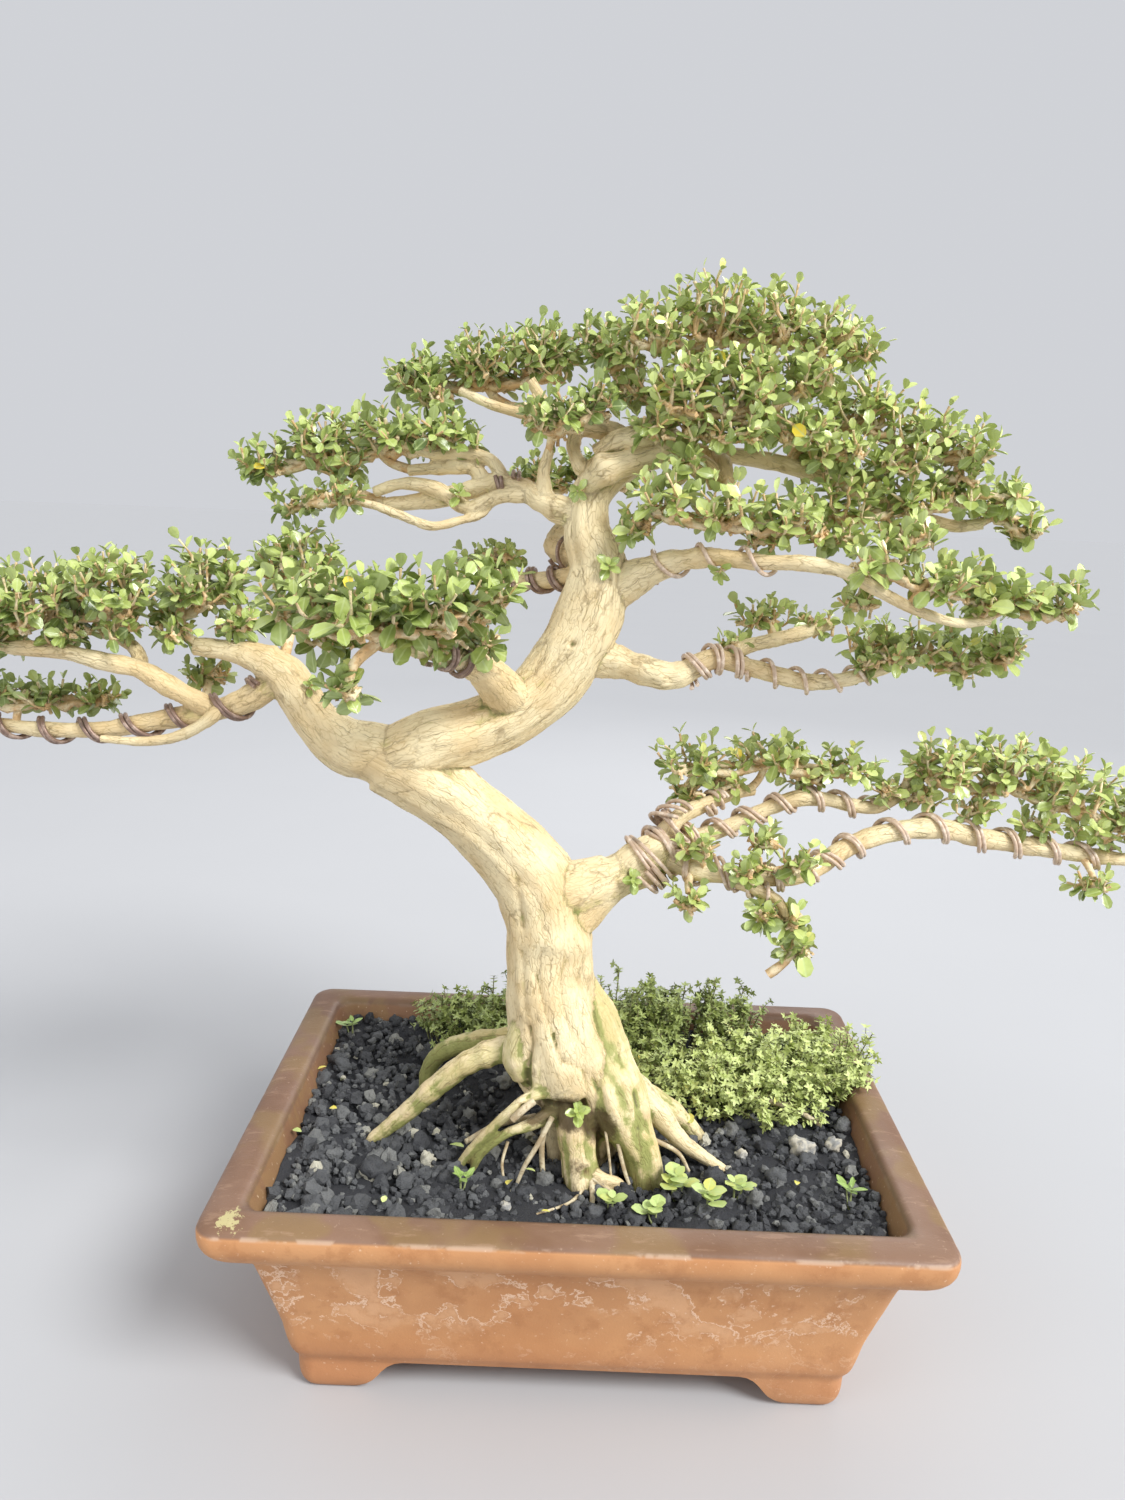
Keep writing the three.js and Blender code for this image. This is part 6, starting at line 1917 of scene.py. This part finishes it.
@dataclass
class Pot:
    """The terracotta pot: overhanging rim, walls that lean in, and feet cut by low arches."""

    size: tuple[float, float] = (600, 447)
    corner: float = 22
    wall: Rows = (
        (71, 0), (69.6, 1), (67.8, 3), (66.4, 6), (65.3, 10), (64.6, 15), (64.3, 20), (64.1, 27), (63.8, 30.4),
        (62.8, 33.4), (61.4, 36), (59.6, 39), (58.2, 42.4), (57.2, 46.6), (55.8, 53), (54.4, 61), (53, 69.4),
        (49.8, 82.4), (45.6, 98.5), (40.5, 116.7), (37.5, 128.4), (34.5, 139), (31.6, 146), (28.6, 150.4),
        (25, 153.6), (20, 157), (15, 160.4), (10, 164.4), (5.8, 168.8), (2.8, 173.4), (0.9, 178.4), (0, 184),
        (0, 190), (0.6, 192.4), (2.4, 194.4), (6, 196), (14, 197.4), (22, 198), (27, 197.9), (30.4, 196.6),
        (32.6, 194.2), (34, 191), (36, 186), (41, 170), (46, 155), (59, 118), (70, 75), (80, 40),
    )
    arch: Rows = (
        (189, -2), (186, 1.6), (181, 4), (175, 7), (170, 11), (166, 15.6), (162, 21), (157, 26), (151, 29.4),
        (143, 31),
    )
    side_shift: float = -78
    recess_margin: float = 192
    recess_height: float = 32
    drains: tuple[float, float] = (-130, 130)
    drain_radius: float = 16
    worn_edge: float = 1.2
    finish: Terracotta = Terracotta()

    def build(self) -> bpy.types.Object:
        """Raises the wall, cuts the arches, the hollow under the floor and the drains, and dresses it.

        Returns:
            The pot.
        """
        pot = self._shell()
        front, side = self._arch(0, 520, 0), self._arch(self.side_shift, 700, math.pi / 2)
        cutters = [front, side, self._recess(), *(self._drain(x) for x in self.drains)]
        for cutter in cutters:
            apply_modifier(pot, "BOOLEAN", operation="DIFFERENCE", object=cutter, solver="EXACT")
            bpy.data.objects.remove(cutter)
        wear = {"width": self.worn_edge * MM, "segments": 2, "angle_limit": math.radians(50)}
        apply_modifier(pot, "BEVEL", limit_method="ANGLE", **wear)
        activate(pot)
        bpy.ops.object.shade_smooth_by_angle(angle=math.radians(38))
        return settle(dressed(pot, self.finish.material()), Slot.POT, "pot")

    @staticmethod
    def _closed() -> None:
        """Ends the edit of a closed mesh with its faces turned outwards."""
        bpy.ops.mesh.select_all(action="SELECT")
        bpy.ops.mesh.normals_make_consistent(inside=False)
        bpy.ops.object.mode_set(mode="OBJECT")

    def _shell(self) -> bpy.types.Object:
        """The pot's closed wall, floor and rim, extruded ring by ring.

        Returns:
            The shell.
        """
        pot = modelled(bpy.ops.mesh.primitive_plane_add, size=1)
        pot.name = pot.data.name = "terracottaPot"
        wide, deep = ((edge - 2 * self.wall[0][0]) * MM for edge in self.size)
        pot.scale = (wide, deep, 1)
        pot.location = ORIGIN
        bpy.ops.object.transform_apply(location=True, rotation=True, scale=True)
        bpy.ops.object.mode_set(mode="EDIT")
        bpy.ops.mesh.select_all(action="SELECT")
        bpy.ops.mesh.bevel(offset=self.corner * 0.62 * MM, segments=7, affect="VERTICES")
        bpy.context.scene.transform_orientation_slots[0].type = "GLOBAL"
        bpy.context.scene.tool_settings.transform_pivot_point = "MEDIAN_POINT"
        for (inset, low), (next_inset, high) in zip(self.wall[:-1], self.wall[1:]):
            rise = (0, 0, (high - low) * MM)
            bpy.ops.mesh.extrude_region_move(TRANSFORM_OT_translate={"value": rise})
            factor = [(edge - 2 * next_inset) / (edge - 2 * inset) for edge in self.size]
            bpy.ops.transform.resize(value=(*factor, 1), center_override=(*ORIGIN[:2], high * MM))
        self._closed()
        return pot

    def _arch(self, shift: float, length: float, turn: float) -> bpy.types.Object:
        """The cutter between two feet.

        Args:
            shift: How much wider the arch is than the front one, in millimetres.
            length: How far it reaches through the pot.
            turn: Its turn about the pot's axis.

        Returns:
            The cutter.
        """
        half = [(x + shift, z) for x, z in self.arch]
        outline = half + [(-x, z) for x, z in reversed(half)]
        cutter = modelled(bpy.ops.mesh.primitive_circle_add, vertices=len(outline), radius=1, fill_type="NGON")
        for vertex, (x, z) in zip(cutter.data.vertices, outline):
            vertex.co = (x * MM, -length * MM / 2, z * MM)
        bpy.ops.object.mode_set(mode="EDIT")
        bpy.ops.mesh.select_all(action="SELECT")
        bpy.ops.mesh.extrude_region_move(TRANSFORM_OT_translate={"value": (0, length * MM, 0)})
        self._closed()
        cutter.rotation_euler.z = turn
        cutter.location = ORIGIN
        return cutter

    def _recess(self) -> bpy.types.Object:
        """The cutter of the hollow inside the feet."""
        cutter = modelled(bpy.ops.mesh.primitive_cube_add, size=1, location=(*ORIGIN[:2], 0))
        cutter.scale = (*((edge - self.recess_margin) * MM for edge in self.size), 2 * self.recess_height * MM)
        apply_modifier(cutter, "BEVEL", width=0.02, segments=4, limit_method="ANGLE")
        return cutter

    def _drain(self, x: float) -> bpy.types.Object:
        """The cutter of one drain hole, from the plane of the feet up through the floor."""
        radius, depth = self.drain_radius * MM, 60
        place = {"depth": depth * MM, "location": placed([(x, 0, depth / 2)])[0]}
        return modelled(bpy.ops.mesh.primitive_cylinder_add, vertices=28, radius=radius, **place)


@dataclass
class DrainScreens:
    """The plastic screens over the drain holes, kept as they are packed."""

    finish: MoldedPlastic = MoldedPlastic()

    def dress(self) -> None:
        """Gives both screens their finish."""
        material = self.finish.material()
        for name in ("drainScreen1", "drainScreen2"):
            dressed(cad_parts[name], material)
            LOG.info("%s: packed solid kept", name)


@dataclass
class Studio:
    """Pale floor, soft light, and the camera where the plant was seen from."""

    eye: tuple[float, float, float] = (-23.3, -981.3, 761.2)
    yaw: float = -0.24
    pitch: float = 12.85
    roll: float = -2.15
    focal: float = 1127.0
    image_height: float = 1500.0
    lamps: Sequence[tuple[str, str, tuple[float, float, float], float, float]] = (
        ("key", "SUN", (1.1, -1.0, 1.9), 0.4, 3.2), ("fill", "AREA", (-1.9, -1.5, 1.4), 1.6, 14),
        ("back", "AREA", (0.6, 2.2, 1.7), 1.4, 14), ("side", "AREA", (2.1, -0.3, 0.9), 1.4, 14),
    )
    aim: tuple[float, float, float] = (0, 0, 0.5)
    sky: Colour = (0.93, 0.95, 1.0)
    sky_strength: float = 0.68
    floor_size: float = 60.0
    floor_dark: Colour = (0.446, 0.451, 0.462)
    floor_pale: Colour = (0.462, 0.467, 0.478)

    def build(self) -> None:
        """Sets the floor, the lights and the camera."""
        self._floor()
        self._camera()
        for name, kind, at, size, power in self.lamps:
            light = bpy.data.lights.new(name, kind)
            light.energy = power
            setattr(light, "angle" if kind == "SUN" else "size", size)
            lamp = bpy.data.objects.new(name, light)
            lamp.location = at
            lamp.rotation_euler = (Vector(self.aim) - Vector(at)).to_track_quat("-Z", "Y").to_euler()
            bpy.context.collection.objects.link(lamp)
        bpy.context.scene.view_settings.view_transform = "Standard"
        world = bpy.data.worlds.new("studio")
        world.use_nodes = True
        sky = world.node_tree.nodes["Background"].inputs
        sky["Color"].default_value, sky["Strength"].default_value = (*self.sky, 1), self.sky_strength
        bpy.context.scene.world = world

    def _floor(self) -> None:
        """A plain pale floor with a soft mottle."""
        floor = modelled(bpy.ops.mesh.primitive_plane_add, size=self.floor_size, location=(0, 0, 0))
        floor.name = "studioFloor"
        s = Shader("studioFloor")
        colour = s.mix(s.noise(s.place(), 3, 2), self.floor_dark, self.floor_pale)
        dressed(floor, s.set(base_color=colour, roughness=0.85))

    def _camera(self) -> None:
        """The camera, from its measured place and angles."""
        yaw, pitch, roll = (math.radians(angle) for angle in (self.yaw, self.pitch, self.roll))
        ahead = Vector((math.sin(yaw) * math.cos(pitch), math.cos(yaw) * math.cos(pitch), -math.sin(pitch)))
        right = Vector((math.cos(yaw), -math.sin(yaw), 0))
        down = ahead.cross(right)
        cos, sin = math.cos(roll), math.sin(roll)
        right, down = right * cos + down * sin, down * cos - right * sin
        data = bpy.data.cameras.new("camera")
        data.sensor_width = 36.0
        data.lens = self.focal / self.image_height * data.sensor_width
        camera = bpy.data.objects.new("camera", data)
        turn = Matrix((right, -down, -ahead)).transposed().to_4x4()
        camera.matrix_world = Matrix.Translation(Vector(placed([self.eye])[0])) @ turn
        bpy.context.collection.objects.link(camera)
        bpy.context.scene.camera = camera


def main() -> None:
    """Builds the plant, its pot and the studio."""
    logging.basicConfig(level=logging.INFO, format="%(message)s")
    Studio().build()
    Pot().build()
    DrainScreens().dress()
    GritBed().build()
    Tree().build()
    TrainingWire().build()
    Foliage().build()
    GroundCover().build()
    Seedlings().build()
    Litter().build()


if __name__ == "__main__":
    main()
